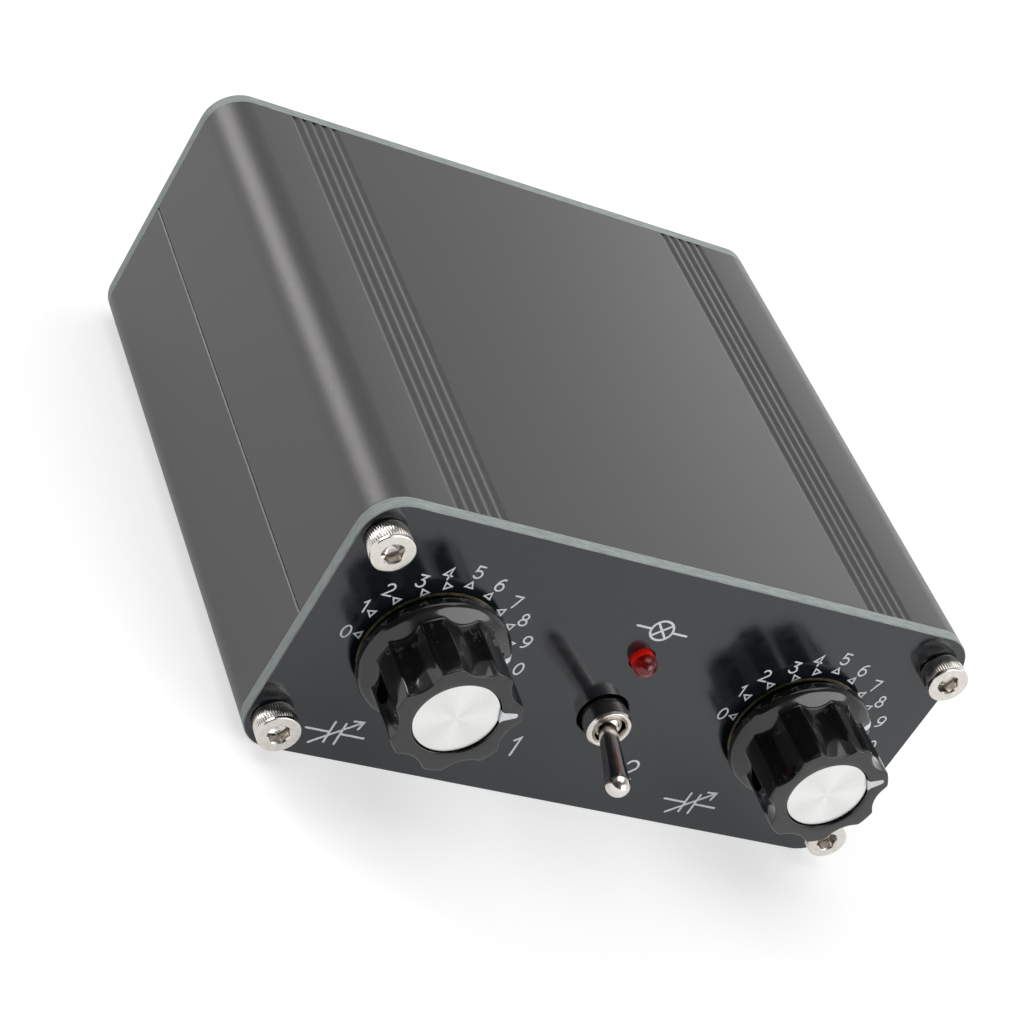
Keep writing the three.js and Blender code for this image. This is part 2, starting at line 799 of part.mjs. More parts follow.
// Toggle switch: a bent steel bracket that holds the bushing and straddles the body
function switchBracket() {
  const low = switchAxisHeight - switchBodyHeight / 2;
  const high = switchAxisHeight + switchBodyHeight / 2;
  const outer = bracketOffset + bracketThickness;
  const back = bracketFront + bracketThickness;
  let body = block([-outer, bracketFront, low], [outer, back, high]);
  const hole = bar(bushingBore + gap, bracketFront - overrun, back + overrun);
  body = body.subtract(moved(hole, 0, 0, switchAxisHeight));
  for (const side of [-1, 1]) {
    const [lowX, highX] = span(side, bracketOffset, outer);
    body = body.add(block([lowX, bracketFront, low], [highX, switchBodyFront + bracketReach, high]));
    const legHigh = [highX, bracketLegY + bracketLegWidth, high];
    body = body.add(block([lowX, bracketLegY, pinEnd], legHigh));
  }
  return body;
}

// Toggle switch: the moulded body, open towards the bracket, with slots for the terminals
function switchBody() {
  const halfX = switchBodyWidth / 2;
  const halfZ = switchBodyHeight / 2;
  const low = switchAxisHeight - halfZ;
  const high = switchAxisHeight + halfZ;
  let body = block([-halfX, switchBodyFront, low], [halfX, switchBodyBack, high]);
  const cavityLow = [-halfX + switchBodyWall, switchBodyFront - overrun, low + switchBodyWall];
  const cavityHigh = [halfX - switchBodyWall, switchBodyBack - switchBodyWall, high - switchBodyWall];
  body = body.subtract(block(cavityLow, cavityHigh));
  const slotX = terminalWidth / 2 + gap;
  const slotZ = terminalThickness / 2 + gap;
  for (const i of [-1, 0, 1]) {
    const x = i * terminalPitch;
    const slotLow = [x - slotX, switchBodyBack - switchBodyWall - overrun, switchAxisHeight - slotZ];
    const slotHigh = [x + slotX, switchBodyBack + overrun, switchAxisHeight + slotZ];
    body = body.subtract(block(slotLow, slotHigh));
  }
  return body;
}

// Toggle switch: each terminal runs back through the body and turns down into the board
function switchTerminal(frontY) {
  const halfX = terminalWidth / 2;
  const halfZ = terminalThickness / 2;
  const run = block([-halfX, frontY, -halfZ], [halfX, terminalBack, halfZ]);
  const dropLow = [-halfX, terminalBack - terminalThickness, pinEnd - switchAxisHeight];
  const drop = block(dropLow, [halfX, terminalBack, halfZ]);
  return run.add(drop);
}

// Toggle switch: lever and rocking contact lean opposite ways, and the lever rests to the left
function addSwitch() {
  add('switch_bushing', switchBushing(), 'nickel').position.z = switchAxisHeight;
  add('switch_bracket', switchBracket(), 'nickel');
  add('switch_body', switchBody(), 'switchPlastic');
  const lever = add('switch_lever', switchLever(), 'nickel');
  lever.position.set(0, pivotY, switchAxisHeight);
  lever.rotation.z = -leverTilt;

  const half = [rockerLength, rockerThickness, rockerWidth].map((size) => size / 2);
  const plate = block(half.map((size) => -size), half);
  const rocker = add('switch_rocker', plate, 'brass');
  rocker.position.set(0, rockerY, switchAxisHeight);
  rocker.rotation.z = rockerTilt;

  const rockerBack = rockerY + rockerThickness / 2 / Math.cos(rockerTilt);
  for (const [name, i] of [['left', -1], ['middle', 0], ['right', 1]]) {
    const reach = Math.abs(i) * terminalPitch + terminalWidth / 2;
    const start = rockerBack + reach * Math.tan(rockerTilt) + seat;
    const terminal = add(`switch_terminal_${name}`, switchTerminal(start), 'plate');
    terminal.position.set(i * terminalPitch, 0, switchAxisHeight);
  }
}

// Lamp: a 3 mm dome with its flange behind the panel, and two leads down to the board
function addLamp() {
  const profile = [[0, lampTip]];
  for (let i = 1; i <= domeSteps; i += 1) {
    const turn = (i / domeSteps) * 0.5 * Math.PI;
    profile.push([lampRadius * Math.sin(turn), lampTip + lampRadius - lampRadius * Math.cos(turn)]);
  }
  profile.push([lampRadius, lampBack - lampFlangeThickness]);
  profile.push([lampFlangeRadius, lampBack - lampFlangeThickness]);
  profile.push([lampFlangeRadius, lampBack]);
  profile.push([0, lampBack]);
  add('lamp', turned(profile), 'lamp').position.z = lampHeight;

  for (const [name, side] of [['left', -1], ['right', 1]]) {
    const nearX = side * lampLeadPitch / 2;
    const farX = side * lampLeadOffset;
    const stops = [
      [nearX, lampBack + seat, lampHeight],
      [nearX, lampLeadY - lampLeadForward / 2, lampHeight],
      [nearX, lampLeadY, lampHeight - lampLeadForward / 2],
      [farX, lampLeadY, lampHeight - lampLeadDrop],
      [farX, lampLeadY, pinEnd],
    ].map((place) => new THREE.Vector3(...place));
    const path = new THREE.CatmullRomCurve3(stops, false, 'centripetal');
    add(`lamp_lead_${name}`, wire(path, lampLeadRadius, leadSteps), 'plate');
  }
}

// Coils: a wire wound round a ring core, as a helix whose loop is a squared circle
class RingWinding extends THREE.Curve {
  constructor({ ringRadius, halfDeep, halfHigh, turns, startAngle, arc }) {
    super();
    this.ringRadius = ringRadius;
    this.halfDeep = halfDeep;
    this.halfHigh = halfHigh;
    this.turns = turns;
    this.startAngle = startAngle;
    this.arc = arc;
    this.arcLengthDivisions = turns * stepsPerTurn * stepsPerTurn;
  }

  getPoint(t, target = new THREE.Vector3()) {
    const loop = 2 * Math.PI * this.turns * t - Math.PI / 2;
    const squeeze = (value) => Math.sign(value) * Math.abs(value) ** (2 / loopSquareness);
    const radius = this.ringRadius + this.halfDeep * squeeze(Math.cos(loop));
    const height = this.halfHigh * squeeze(Math.sin(loop));
    const angle = this.startAngle + this.arc * t;
    return target.set(radius * Math.cos(angle), radius * Math.sin(angle), height);
  }
}

// Coils: a ring core, turned and laid flat
function ringCore(outer, inner, height, edge) {
  const half = height / 2;
  return turned([
    [inner + edge, -half],
    [outer - edge, -half],
    [outer, -half + edge],
    [outer, half - edge],
    [outer - edge, half],
    [inner + edge, half],
    [inner, half - edge],
    [inner, -half + edge],
  ]).rotate([90, 0, 0]);
}

// Coils: a winding that stands off its core
function ringWinding(outer, inner, height, standOff, radius, turns, startAngle, arc) {
  const path = new RingWinding({
    ringRadius: (outer + inner) / 2,
    halfDeep: (outer - inner) / 2 + radius + standOff,
    halfHigh: height / 2 + radius + standOff,
    turns,
    startAngle,
    arc,
  });
  return wire(path, radius, turns * stepsPerTurn);
}

// Coils: the tuning coil with its two windings, and the small bridge transformer
function addCoils() {
  const lift = boardTop + seat + 2 * wireRadius + wireStandOff + coreHeight / 2;
  const place = [coilX, coilY, lift];
  const ring = [coreOuterRadius, coreInnerRadius, coreHeight];
  add('coil_core', ringCore(...ring, coreEdge), 'ironPowder').position.set(...place);
  const mainStart = -mainArc / 2;
  const mainWinding = ringWinding(...ring, wireStandOff, wireRadius, mainTurns, mainStart, mainArc);
  add('coil_main_winding', mainWinding, 'copper').position.set(...place);
  const linkStart = mainArc / 2 + arcSpace;
  const linkWinding = ringWinding(...ring, wireStandOff, wireRadius, linkTurns, linkStart, linkArc);
  add('coil_link_winding', linkWinding, 'copper').position.set(...place);

  const bridgeLift = boardTop + seat + 2 * bridgeWireRadius + bridgeStandOff + bridgeHeight / 2;
  const bridgePlace = [bridgeX, bridgeY, bridgeLift];
  const bridgeRing = [bridgeOuterRadius, bridgeInnerRadius, bridgeHeight];
  add('bridge_core', ringCore(...bridgeRing, bridgeEdge), 'ferrite').position.set(...bridgePlace);
  const winding = ringWinding(...bridgeRing, bridgeStandOff, bridgeWireRadius, bridgeTurns, 0, bridgeArc);
  add('bridge_winding', winding, 'copper').position.set(...bridgePlace);
}

// Bridge resistors: dog-bone bodies along X, with both leads turned down into the board
function resistor() {
  const half = resistorLength / 2;
  const leadX = resistorLeadPitch / 2;
  const lift = resistorRadius + resistorLift;
  const body = turned([
    [0, -half],
    [resistorRadius - resistorEdge, -half],
    [resistorRadius, -half + resistorEdge],
    [resistorRadius, -half + 2 * resistorRadius],
    [resistorRadius - resistorWaist, -half + 2 * resistorRadius + resistorEdge],
    [resistorRadius - resistorWaist, half - 2 * resistorRadius - resistorEdge],
    [resistorRadius, half - 2 * resistorRadius],
    [resistorRadius, half - resistorEdge],
    [resistorRadius - resistorEdge, half],
    [0, half],
  ], smallSides);
  const leads = bar(resistorLeadRadius, -leadX, leadX, pinSides);
  let piece = body.add(leads).rotate([0, 0, 90]);
  const dropLength = lift + boardTop - pinEnd;
  const drop = bar(resistorLeadRadius, -resistorLeadRadius, dropLength, pinSides).rotate([-90, 0, 0]);
  for (const side of [-1, 1]) {
    piece = piece.add(moved(drop, side * leadX, 0, 0));
  }
  return piece;
}

// Bridge resistors: where each one lies
function resistorPlace(i) {
  return [bridgeX, resistorY + i * resistorPitch, boardTop + resistorRadius + resistorLift];
}

// Bridge resistors: a row of equal ones
function addResistors() {
  for (let i = 0; i < resistorCount; i += 1) {
    add(`bridge_resistor_${i + 1}`, resistor(), 'resistor').position.set(...resistorPlace(i));
  }
}

// Coaxial sockets: a moulded housing on the board, with two pegs and a slot for the contact's pin
function socketHousing() {
  const half = socketBlockWidth / 2;
  const low = boardTop + seat - socketAxisHeight;
  const chamberFront = socketBlockFront + contactTailLength;
  let body = block([-half, socketBlockFront, low], [half, socketBlockBack, socketBlockAbove]);
  body = body.subtract(bar(socketTailRadius + gap, chamberFront, socketBlockBack + overrun));
  const slotHalf = contactSlotWidth / 2;
  const slotLow = [-slotHalf, socketBlockFront - overrun, low - overrun];
  const slotHigh = [slotHalf, chamberFront + overrun, contactRadius + gap];
  body = body.subtract(block(slotLow, slotHigh));
  const pegLength = boardTop + seat - pinEnd;
  const peg = bar(socketPegRadius, -overrun, pegLength, pinSides).rotate([-90, 0, 0]);
  for (const side of [-1, 1]) {
    body = body.add(moved(peg, side * socketPegOffset, pegY, low));
  }
  return body;
}

// Coaxial sockets: the threaded shell with its smooth nose and two locking lugs
function socketShell() {
  const threadEnd = panelFace + socketThreadLength - panelThickness;
  const tailStart = socketShoulder - socketTailLength;
  const body = turned([
    [socketMouthRadius, tailStart],
    [socketTailRadius, tailStart],
    [socketTailRadius, socketShoulder],
    [socketThreadRadius, socketShoulder],
    [socketThreadRadius, threadEnd - socketEdge],
    [socketThreadRadius - socketEdge, threadEnd],
    [socketNoseRadius, threadEnd],
    [socketNoseRadius, socketEnd - socketEdge],
    [socketNoseRadius - socketEdge, socketEnd],
    [socketMouthRadius, socketEnd],
  ]);
  const lugBar = bar(lugRadius, -lugTip, lugTip, smallSides).rotate([0, 0, 90]);
  const lugs = moved(lugBar, 0, socketEnd - lugFromMouth, 0);
  const hollow = bar(socketMouthRadius, tailStart, socketEnd);
  return body.add(lugs.subtract(hollow));
}

// Coaxial sockets: the insulator, wide in the shell's tail and narrow in its mouth
function socketInsulator() {
  const noseEnd = socketEnd - insulatorRecess;
  const noseStart = noseEnd - insulatorNoseLength;
  const back = socketShoulder - insulatorBackLength;
  const baseRadius = socketMouthRadius - gap;
  const boreRadius = contactRadius + contactClearance;
  return turned([
    [boreRadius, back],
    [baseRadius, back],
    [baseRadius, noseStart],
    [insulatorNoseRadius, noseStart],
    [insulatorNoseRadius, noseEnd],
    [boreRadius, noseEnd],
  ]);
}

// Coaxial sockets: the centre contact, bored for the plug's pin, with a pin down to the board
function socketContact() {
  const start = contactPinY - contactPinRadius;
  const mouth = socketEnd - insulatorRecess - contactRecess;
  const body = turned([
    [0, start],
    [contactRadius, start],
    [contactRadius, mouth],
    [contactBore, mouth],
    [contactBore, mouth - contactBoreDepth],
    [0, mouth - contactBoreDepth],
  ], smallSides);
  const pinLength = socketAxisHeight - pinEnd;
  const pin = bar(contactPinRadius, 0, pinLength, pinSides).rotate([-90, 0, 0]);
  return body.add(moved(pin, 0, contactPinY, 0));
}

// Coaxial sockets: a flat washer and a chamfered hexagon nut outside the rear panel
function socketWasher() {
  const start = panelFace + seat;
  const inner = socketThreadRadius + gap;
  return turned([
    [inner, start],
    [washerRadius, start],
    [washerRadius, start + washerThickness],
    [inner, start + washerThickness],
  ]);
}

function socketNut() {
  const start = panelFace + 2 * seat + washerThickness;
  const end = start + nutThickness;
  const corner = nutAcrossFlats / 2 / Math.cos(Math.PI / 6);
  const hexagon = bar(corner, start, end, hexSides);
  const crown = turned([
    [0, start],
    [corner, start],
    [corner, end - nutEdge],
    [nutAcrossFlats / 2, end],
    [0, end],
  ], fineSides);
  const hole = bar(socketThreadRadius + gap, start - overrun, end + overrun);
  return hexagon.intersect(crown).subtract(hole);
}

// Coaxial sockets: two equal ones, side by side on the rear panel
function addSockets() {
  for (const [name, x] of [['left', -socketOffset], ['right', socketOffset]]) {
    const pieces = [
      ['housing', socketHousing(), 'blackPlastic'],
      ['shell', socketShell(), 'nickel'],
      ['insulator', socketInsulator(), 'whitePlastic'],
      ['contact', socketContact(), 'gold'],
      ['washer', socketWasher(), 'nickel'],
      ['nut', socketNut(), 'nickel'],
    ];
    for (const [piece, body, material] of pieces) {
      add(`${name}_socket_${piece}`, body, material).position.set(x, 0, socketAxisHeight);
    }
  }
}

// Main board: a sheet in the lower shell's slots, drilled where a leg or lead passes through
function mainBoard() {
  const low = [-boardHalfWidth, -boardHalfLength, boardBottom];
  const high = [boardHalfWidth, boardHalfLength, boardTop];
  let body = block(low, high);
  const drill = (x, y, radius) => {
    const hole = bar(radius + holeClearance, boardBottom - overrun, boardTop + overrun, pinSides);
    body = body.subtract(hole.rotate([90, 0, 0]).translate([x, y, 0]));
  };
  const reachAround = (width, depth) => Math.hypot(width, depth) / 2;
  for (const side of [-1, 1]) {
    for (const legSign of [-1, 1]) {
      const x = side * knobSpread + legSign * (statorReach - legWidth / 2);
      drill(x, statorBack - legWidth / 2, reachAround(legWidth, legWidth));
    }
    const bracketX = side * (bracketOffset + bracketThickness / 2);
    drill(bracketX, bracketLegY + bracketLegWidth / 2, reachAround(bracketThickness, bracketLegWidth));
    drill(side * lampLeadOffset, lampLeadY, lampLeadRadius);
    drill(side * socketOffset, contactPinY, contactPinRadius);
    for (const pegSign of [-1, 1]) {
      const x = side * socketOffset + pegSign * socketPegOffset;
      drill(x, pegY, socketPegRadius);
    }
    for (let i = 0; i < resistorCount; i += 1) {
      const [x, y] = resistorPlace(i);
      drill(x + side * resistorLeadPitch / 2, y, resistorLeadRadius);
    }
  }
  for (const i of [-1, 0, 1]) {
    const y = terminalBack - terminalThickness / 2;
    drill(i * terminalPitch, y, reachAround(terminalWidth, terminalThickness));
  }
  return body;
}

addCase();
addPanels();
addPanelScrews();
addTuningSide('left', -knobSpread, leftPointerAngle);
addTuningSide('right', knobSpread, rightPointerAngle);
addSwitch();
addLamp();
add('main_board', mainBoard(), 'board');
addCoils();
addResistors();
addSockets();

export default tuner;
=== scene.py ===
"""Antenna tuner: the looks of a small metal-cased tuner with two pointer knobs, a toggle switch and a lamp.

Lengths are in millimetres and become metres when a mesh is made. Those of the camera and the studio are in
metres. X points right, Y from the front panel to the rear panel, Z up, with the origin in the middle of the
case's flat bottom.
"""

import math

import bmesh
import bpy
import numpy as np
from mathutils import Matrix
from mathutils.geometry import tessellate_polygon


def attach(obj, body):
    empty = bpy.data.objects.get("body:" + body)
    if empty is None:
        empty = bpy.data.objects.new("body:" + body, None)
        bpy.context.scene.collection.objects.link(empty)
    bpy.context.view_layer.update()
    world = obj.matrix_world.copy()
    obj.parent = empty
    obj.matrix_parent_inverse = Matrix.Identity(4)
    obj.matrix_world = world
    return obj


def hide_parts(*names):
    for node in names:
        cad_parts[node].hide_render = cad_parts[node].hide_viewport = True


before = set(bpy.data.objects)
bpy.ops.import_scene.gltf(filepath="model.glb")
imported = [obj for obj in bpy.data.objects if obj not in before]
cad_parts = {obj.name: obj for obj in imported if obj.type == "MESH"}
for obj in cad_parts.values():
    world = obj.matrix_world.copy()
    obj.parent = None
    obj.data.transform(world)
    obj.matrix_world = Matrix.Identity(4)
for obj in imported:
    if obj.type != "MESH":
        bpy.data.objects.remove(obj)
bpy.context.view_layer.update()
bpy.context.scene.view_settings.view_transform = "Standard"

# Camera: it looks down from the front left, rolled so that the case seems to lean to the left. Its place, its
# three directions and its lens are those at which the case's corners fall where the photograph shows them.
eye = (-0.20380, -0.28306, 0.20136)
to_the_right = (0.82947, -0.28319, 0.48145)
upwards = (-0.20820, 0.64308, 0.73696)
backwards = (-0.51830, -0.71152, 0.47445)
camera_data = bpy.data.cameras.new("camera")
camera_data.lens = 106.34
camera_data.sensor_width = 36.0
camera_data.clip_start = 0.01
camera_data.clip_end = 50.0
camera = bpy.data.objects.new("camera", camera_data)
camera.matrix_world = Matrix((to_the_right, upwards, backwards)).transposed().to_4x4()
camera.location = eye
bpy.context.scene.collection.objects.link(camera)
bpy.context.scene.camera = camera

# Studio: a wide white table, and walls that fade from white at the horizon to grey overhead and to dark at
# the front left. Soft lamps hang overhead, stand at the front right to light the knobs' skirts, and stand
# behind, where the left one draws the light band on the case's edge.
table_half = 3.0
table_grey, table_glow = (0.56, 0.56, 0.56, 1), 0.55
horizon, overhead, overhead_level = 0.42, 0.72, 0.5
bright_side, side_reach, dark_level, bright_level = (0.8, 0.6, 0), 0.9, 0.05, 1.15
table_mesh = bpy.data.meshes.new("table")
table_corners = [(-1, -1), (1, -1), (1, 1), (-1, 1)]
table_mesh.from_pydata([(x * table_half, y * table_half, 0) for x, y in table_corners], [], [(0, 1, 2, 3)])
table = bpy.data.objects.new("table", table_mesh)
bpy.context.scene.collection.objects.link(table)


def feed(node, inputs):
    """Fills a shader node's inputs, by name or number. Another node's output is linked to the input, a node
    stands for its own first output, and any other value is set."""
    for name, value in inputs.items():
        if isinstance(value, bpy.types.Node):
            value = value.outputs[0]
        if isinstance(value, bpy.types.NodeSocket):
            node.id_data.links.new(value, node.inputs[name])
        else:
            node.inputs[name].default_value = value


def add_node(tree, kind, inputs=(), **settings):
    """Adds a shader node with its settings and its inputs to a material's or the world's tree."""
    node = tree.nodes.new("ShaderNode" + kind)
    for name, value in settings.items():
        setattr(node, name, value)
    feed(node, dict(inputs))
    return node


def ranged(tree, value, start, end, low, high):
    """Takes a value from the range between start and end to the one between low and high, and no further."""
    return add_node(tree, "MapRange", {"Value": value, "From Min": start, "From Max": end,
                                       "To Min": low, "To Max": high})


# The table looks white to the camera, in mirrors and through clear pieces, and keeps the object's shadow.
table_paint = bpy.data.materials.new("white_table")
table_paint.use_nodes = True
tree = table_paint.node_tree
tree.nodes.clear()
rays = add_node(tree, "LightPath").outputs
seen = add_node(tree, "Math", {0: rays["Is Camera Ray"], 1: rays["Is Glossy Ray"]}, operation="MAXIMUM")
seen = add_node(tree, "Math", {0: seen, 1: rays["Is Transmission Ray"]}, operation="MAXIMUM")
level = add_node(tree, "Math", {0: seen, 1: table_glow}, operation="MULTIPLY")
glow = add_node(tree, "Emission", {"Strength": level})
matte = add_node(tree, "BsdfDiffuse", {"Color": table_grey})
add_node(tree, "OutputMaterial", {"Surface": add_node(tree, "AddShader", {0: matte, 1: glow})})
table_mesh.materials.append(table_paint)

# The walls' light is a fade by height times a fade from the dark side to the bright one.
world = bpy.data.worlds.new("studio")
world.use_nodes = True
bpy.context.scene.world = world
tree = world.node_tree
direction = add_node(tree, "TexCoord").outputs["Generated"]
height = add_node(tree, "SeparateXYZ", {0: direction}).outputs["Z"]
sideways = add_node(tree, "VectorMath", {0: direction, 1: bright_side}, operation="DOT_PRODUCT")
level = add_node(tree, "Math", {
    0: ranged(tree, height, horizon, overhead, 1.0, overhead_level),
    1: ranged(tree, sideways.outputs["Value"], -side_reach, side_reach, dark_level, bright_level),
}, operation="MULTIPLY")
feed(tree.nodes["Background"], {"Color": (1, 1, 1, 1), "Strength": level})


def soft_lamp(name, place, target, width, tall, power):
    """An area lamp at a place, turned towards a target, with its sides in metres and its power in watts."""
    data = bpy.data.lights.new(name, "AREA")
    data.shape = "RECTANGLE"
    data.size, data.size_y = width, tall
    data.energy = power
    lamp = bpy.data.objects.new(name, data)
    away = np.array(place, float) - np.array(target, float)
    side = np.cross((0, 0, 1), away)
    axes = np.stack([side, np.cross(away, side), away])
    axes /= np.linalg.norm(axes, axis=1, keepdims=True)
    lamp.matrix_world = Matrix(axes.T.tolist()).to_4x4()
    lamp.location = place
    bpy.context.scene.collection.objects.link(lamp)


soft_lamp("lamp_overhead", (-0.10, 0.05, 1.60), (0, 0, 0), 1.5, 1.5, 12.0)
soft_lamp("lamp_front_right", (0.528, -1.133, 0.46), (0, -0.04, 0.06), 0.92, 0.86, 7.6)
soft_lamp("lamp_behind_left", (-0.68, 0.88, 0.48), (0, 0, 0.02), 0.5, 0.62, 5.9)
soft_lamp("lamp_behind_right", (0.64, 0.60, 0.20), (0.03, 0.03, 0.04), 0.36, 0.24, 0.42)

# Case: two halves of one aluminium extrusion, each a trough with grooved bands, a board slot and two round
# screw channels. They meet at mid height, where a lip on the lower half laps inside the upper one, and they
# are blasted and anodised dark grey.
case_width, case_height, case_length = 88.0, 38.0, 80.0
wall, corner_radius = 1.6, 5.0
seam_gap, seam_chamfer = 0.16, 0.14
lip_height, lip_thickness = 1.2, 0.7
groove_count, groove_pitch, groove_width, groove_depth, groove_inset = 5, 1.5, 1.4, 0.22, 14.0
channel_x, channel_z, channel_radius, channel_wall = 40.6, 4.8, 1.55, 0.85
rib_reach, rib_thickness, slot_low, slot_high = 2.0, 1.0, 7.2, 9.0
case_corner_steps, channel_steps, inner_corner_steps = 28, 32, 12
half_width, half_length = case_width / 2, case_length / 2
mm, noise_detail = 0.001, 3.0


def arc(x, z, radius, start, end, steps):
    """Points on a circle about (x, z), from one angle in degrees to another, evenly spaced."""
    turn = np.radians(np.linspace(start, end, steps))
    return np.column_stack([x + radius * np.cos(turn), z + radius * np.sin(turn)])


def circle(x, z, radius, steps):
    """A closed circle about (x, z)."""
    return arc(x, z, radius, 0, 360 - 360 / steps, steps)


def groove_waves():
    """The grooves of one band from left to right: each is one wave of a raised cosine."""
    middle = half_width - groove_inset
    places = middle + (np.arange(groove_count) - (groove_count - 1) / 2) * groove_pitch
    across = np.linspace(-0.5, 0.5, 17)
    depth = groove_depth * (0.5 + 0.5 * np.cos(2 * np.pi * across))
    return [np.column_stack([x + across * groove_width, depth]) for x in places]


def half_section(seam_points):
    """The right half of a trough's section: out along the bottom with its grooves, round the corner, up to
    the given points at the seam, then back inside past the board slot and round the screw channel. It leaves
    the channel where the circle of its wall crosses the circle inside the corner."""
    inner = half_width - wall
    outer_round = channel_radius + channel_wall
    inner_round = corner_radius - wall
    centre_x = half_width - corner_radius
    offset = np.array([channel_x - centre_x, channel_z - corner_radius])
    apart = np.hypot(*offset)
    along = (inner_round**2 - outer_round**2 + apart**2) / (2 * apart)
    across = math.sqrt(inner_round**2 - along**2)
    unit = offset / apart
    meet = np.array([centre_x, corner_radius]) + along * unit + across * np.array([unit[1], -unit[0]])
    on_channel = math.degrees(math.atan2(meet[1] - channel_z, meet[0] - channel_x)) % 360
    on_corner = math.degrees(math.atan2(meet[1] - corner_radius, meet[0] - centre_x))
    rib_x, rib_top = inner - rib_reach, slot_high + rib_thickness
    return np.concatenate([
        *groove_waves(),
        arc(centre_x, corner_radius, corner_radius, -90, 0, case_corner_steps),
        seam_points,
        [[inner, rib_top], [rib_x, rib_top], [rib_x, slot_high], [inner, slot_high], [inner, slot_low]],
        arc(channel_x, channel_z, outer_round, 90, on_channel, channel_steps),
        arc(centre_x, corner_radius, inner_round, on_corner, -90, inner_corner_steps)[1:],
    ])


def walls(rows, count, base=0):
    """Quads between each closed row of so many points and the next one, numbered from a base."""
    here = base + np.arange(rows - 1)[:, None] * count + np.arange(count)
    beside = base + np.arange(rows - 1)[:, None] * count + (np.arange(count) + 1) % count
    return np.stack([here, beside, beside + count, here + count], -1).reshape(-1, 4).tolist()


def prism(levels):
    """A plate or extrusion along Y. Each level is a place on Y with its closed outlines as (x, z) arrays.
    Walls join each outline to the one on the next level, and the first and last levels are filled in with
    triangles. Returns points and faces."""
    rows = [[np.column_stack([loop[:, 0], np.full(len(loop), y), loop[:, 1]]) for loop in loops]
            for y, loops in levels]
    points, faces, starts, base = [], [], [], 0
    for stack in map(np.stack, zip(*rows)):
        faces += walls(len(levels), stack.shape[1], base)
        points.append(stack.reshape(-1, 3))
        starts.append(base)
        base += len(points[-1])
    for level in (0, len(levels) - 1):
        loops = [row[:, [0, 2]] for row in rows[level]]
        ids = np.concatenate([start + level * len(loop) + np.arange(len(loop))
                              for start, loop in zip(starts, loops)])
        flat = [[(x, z, 0.0) for x, z in loop.tolist()] for loop in loops]
        faces += [ids[list(face)].tolist() for face in tessellate_polygon(flat)]
    return np.concatenate(points), faces


def made(name, parts, body, material, replaced=(), sharp=32):
    """Turns (points, faces) parts into one object: points in millimetres become metres, doubles are merged,
    faces turn outwards, and edges steeper than the sharp angle stay crisp. It rides on a body."""
    points, faces, base = [], [], 0
    for part_points, part_faces in parts:
        points.append(part_points * mm)
        faces += [[base + i for i in face] for face in part_faces]
        base += len(part_points)
    mesh = bpy.data.meshes.new(name)
    mesh.from_pydata(np.concatenate(points).tolist(), [], faces)
    merged = bmesh.new()
    merged.from_mesh(mesh)
    bmesh.ops.remove_doubles(merged, verts=merged.verts, dist=1e-7)
    bmesh.ops.dissolve_degenerate(merged, edges=merged.edges, dist=1e-8)
    bmesh.ops.recalc_face_normals(merged, faces=merged.faces)
    merged.to_mesh(mesh)
    merged.free()
    mesh.shade_smooth()
    mesh.set_sharp_from_angle(angle=math.radians(sharp))
    mesh.materials.append(material)
    piece = bpy.data.objects.new(name, mesh)
    bpy.context.scene.collection.objects.link(piece)
    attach(piece, body)
    if replaced:
        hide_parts(*replaced)
    return piece


def finish(name, **settings):
    """A material with a Principled shader, whose plain values are set on the shader's own sockets."""
    material = bpy.data.materials.new(name)
    material.use_nodes = True
    shader = material.node_tree.nodes["Principled BSDF"]
    feed(shader, {socket.replace("_", " "): value for socket, value in settings.items()})
    return material


def toned(tree, value, start, low, end, high):
    """A colour that runs from low, where a value is at its start, to high, where it is at its end."""
    ramp = add_node(tree, "ValToRGB", {"Fac": value})
    for stop, place, colour in zip(ramp.color_ramp.elements, (start, end), (low, high)):
        stop.position, stop.color = place, (*colour, 1)
    return ramp


def grained(name, scale, low, high, roughness, bump, stretch=(1, 1, 1), **settings):
    """A finish with noise on object coordinates. With the noise the colour runs from low to high and the
    roughness between its two values, and a bump of the given height in millimetres follows it."""
    material = finish(name, **settings)
    tree = material.node_tree
    place = add_node(tree, "TexCoord").outputs["Object"]
    mapping = add_node(tree, "Mapping", {"Vector": place, "Scale": stretch})
    noise = add_node(tree, "TexNoise", {"Vector": mapping, "Scale": scale, "Detail": noise_detail})
    # Most of the noise lies between 0.25 and 0.75.
    feed(tree.nodes["Principled BSDF"], {
        "Base Color": toned(tree, noise, 0.25, low, 0.75, high),
        "Roughness": ranged(tree, noise, 0.3, 0.7, *roughness),
        "Normal": add_node(tree, "Bump", {"Strength": 1.0, "Distance": bump * mm, "Height": noise}),
    })
    return material


anodised = grained("blasted_anodised_aluminium", 2600, (0.084, 0.081, 0.082), (0.103, 0.100, 0.101),
                   roughness=(0.40, 0.50), bump=0.004, Metallic=0.9)


def add_shell(name, seam_points, flip):
    """One trough: the half section and its mirror image make the outline, with the two screw channels as
    holes in it, carried along the case's length. The upper one is the same turned over."""
    half = half_section(np.array(seam_points))
    outline = np.concatenate([half, (half * [-1, 1])[::-1]])
    loops = [outline, *[circle(side * channel_x, channel_z, channel_radius, 24) for side in (-1, 1)]]
    if flip:
        loops = [np.column_stack([loop[:, 0], case_height - loop[:, 1]]) for loop in loops]
    part = prism([(-half_length, loops), (half_length, loops)])
    made(name, [part], "case", anodised, [name.removesuffix("_case")], sharp=24)


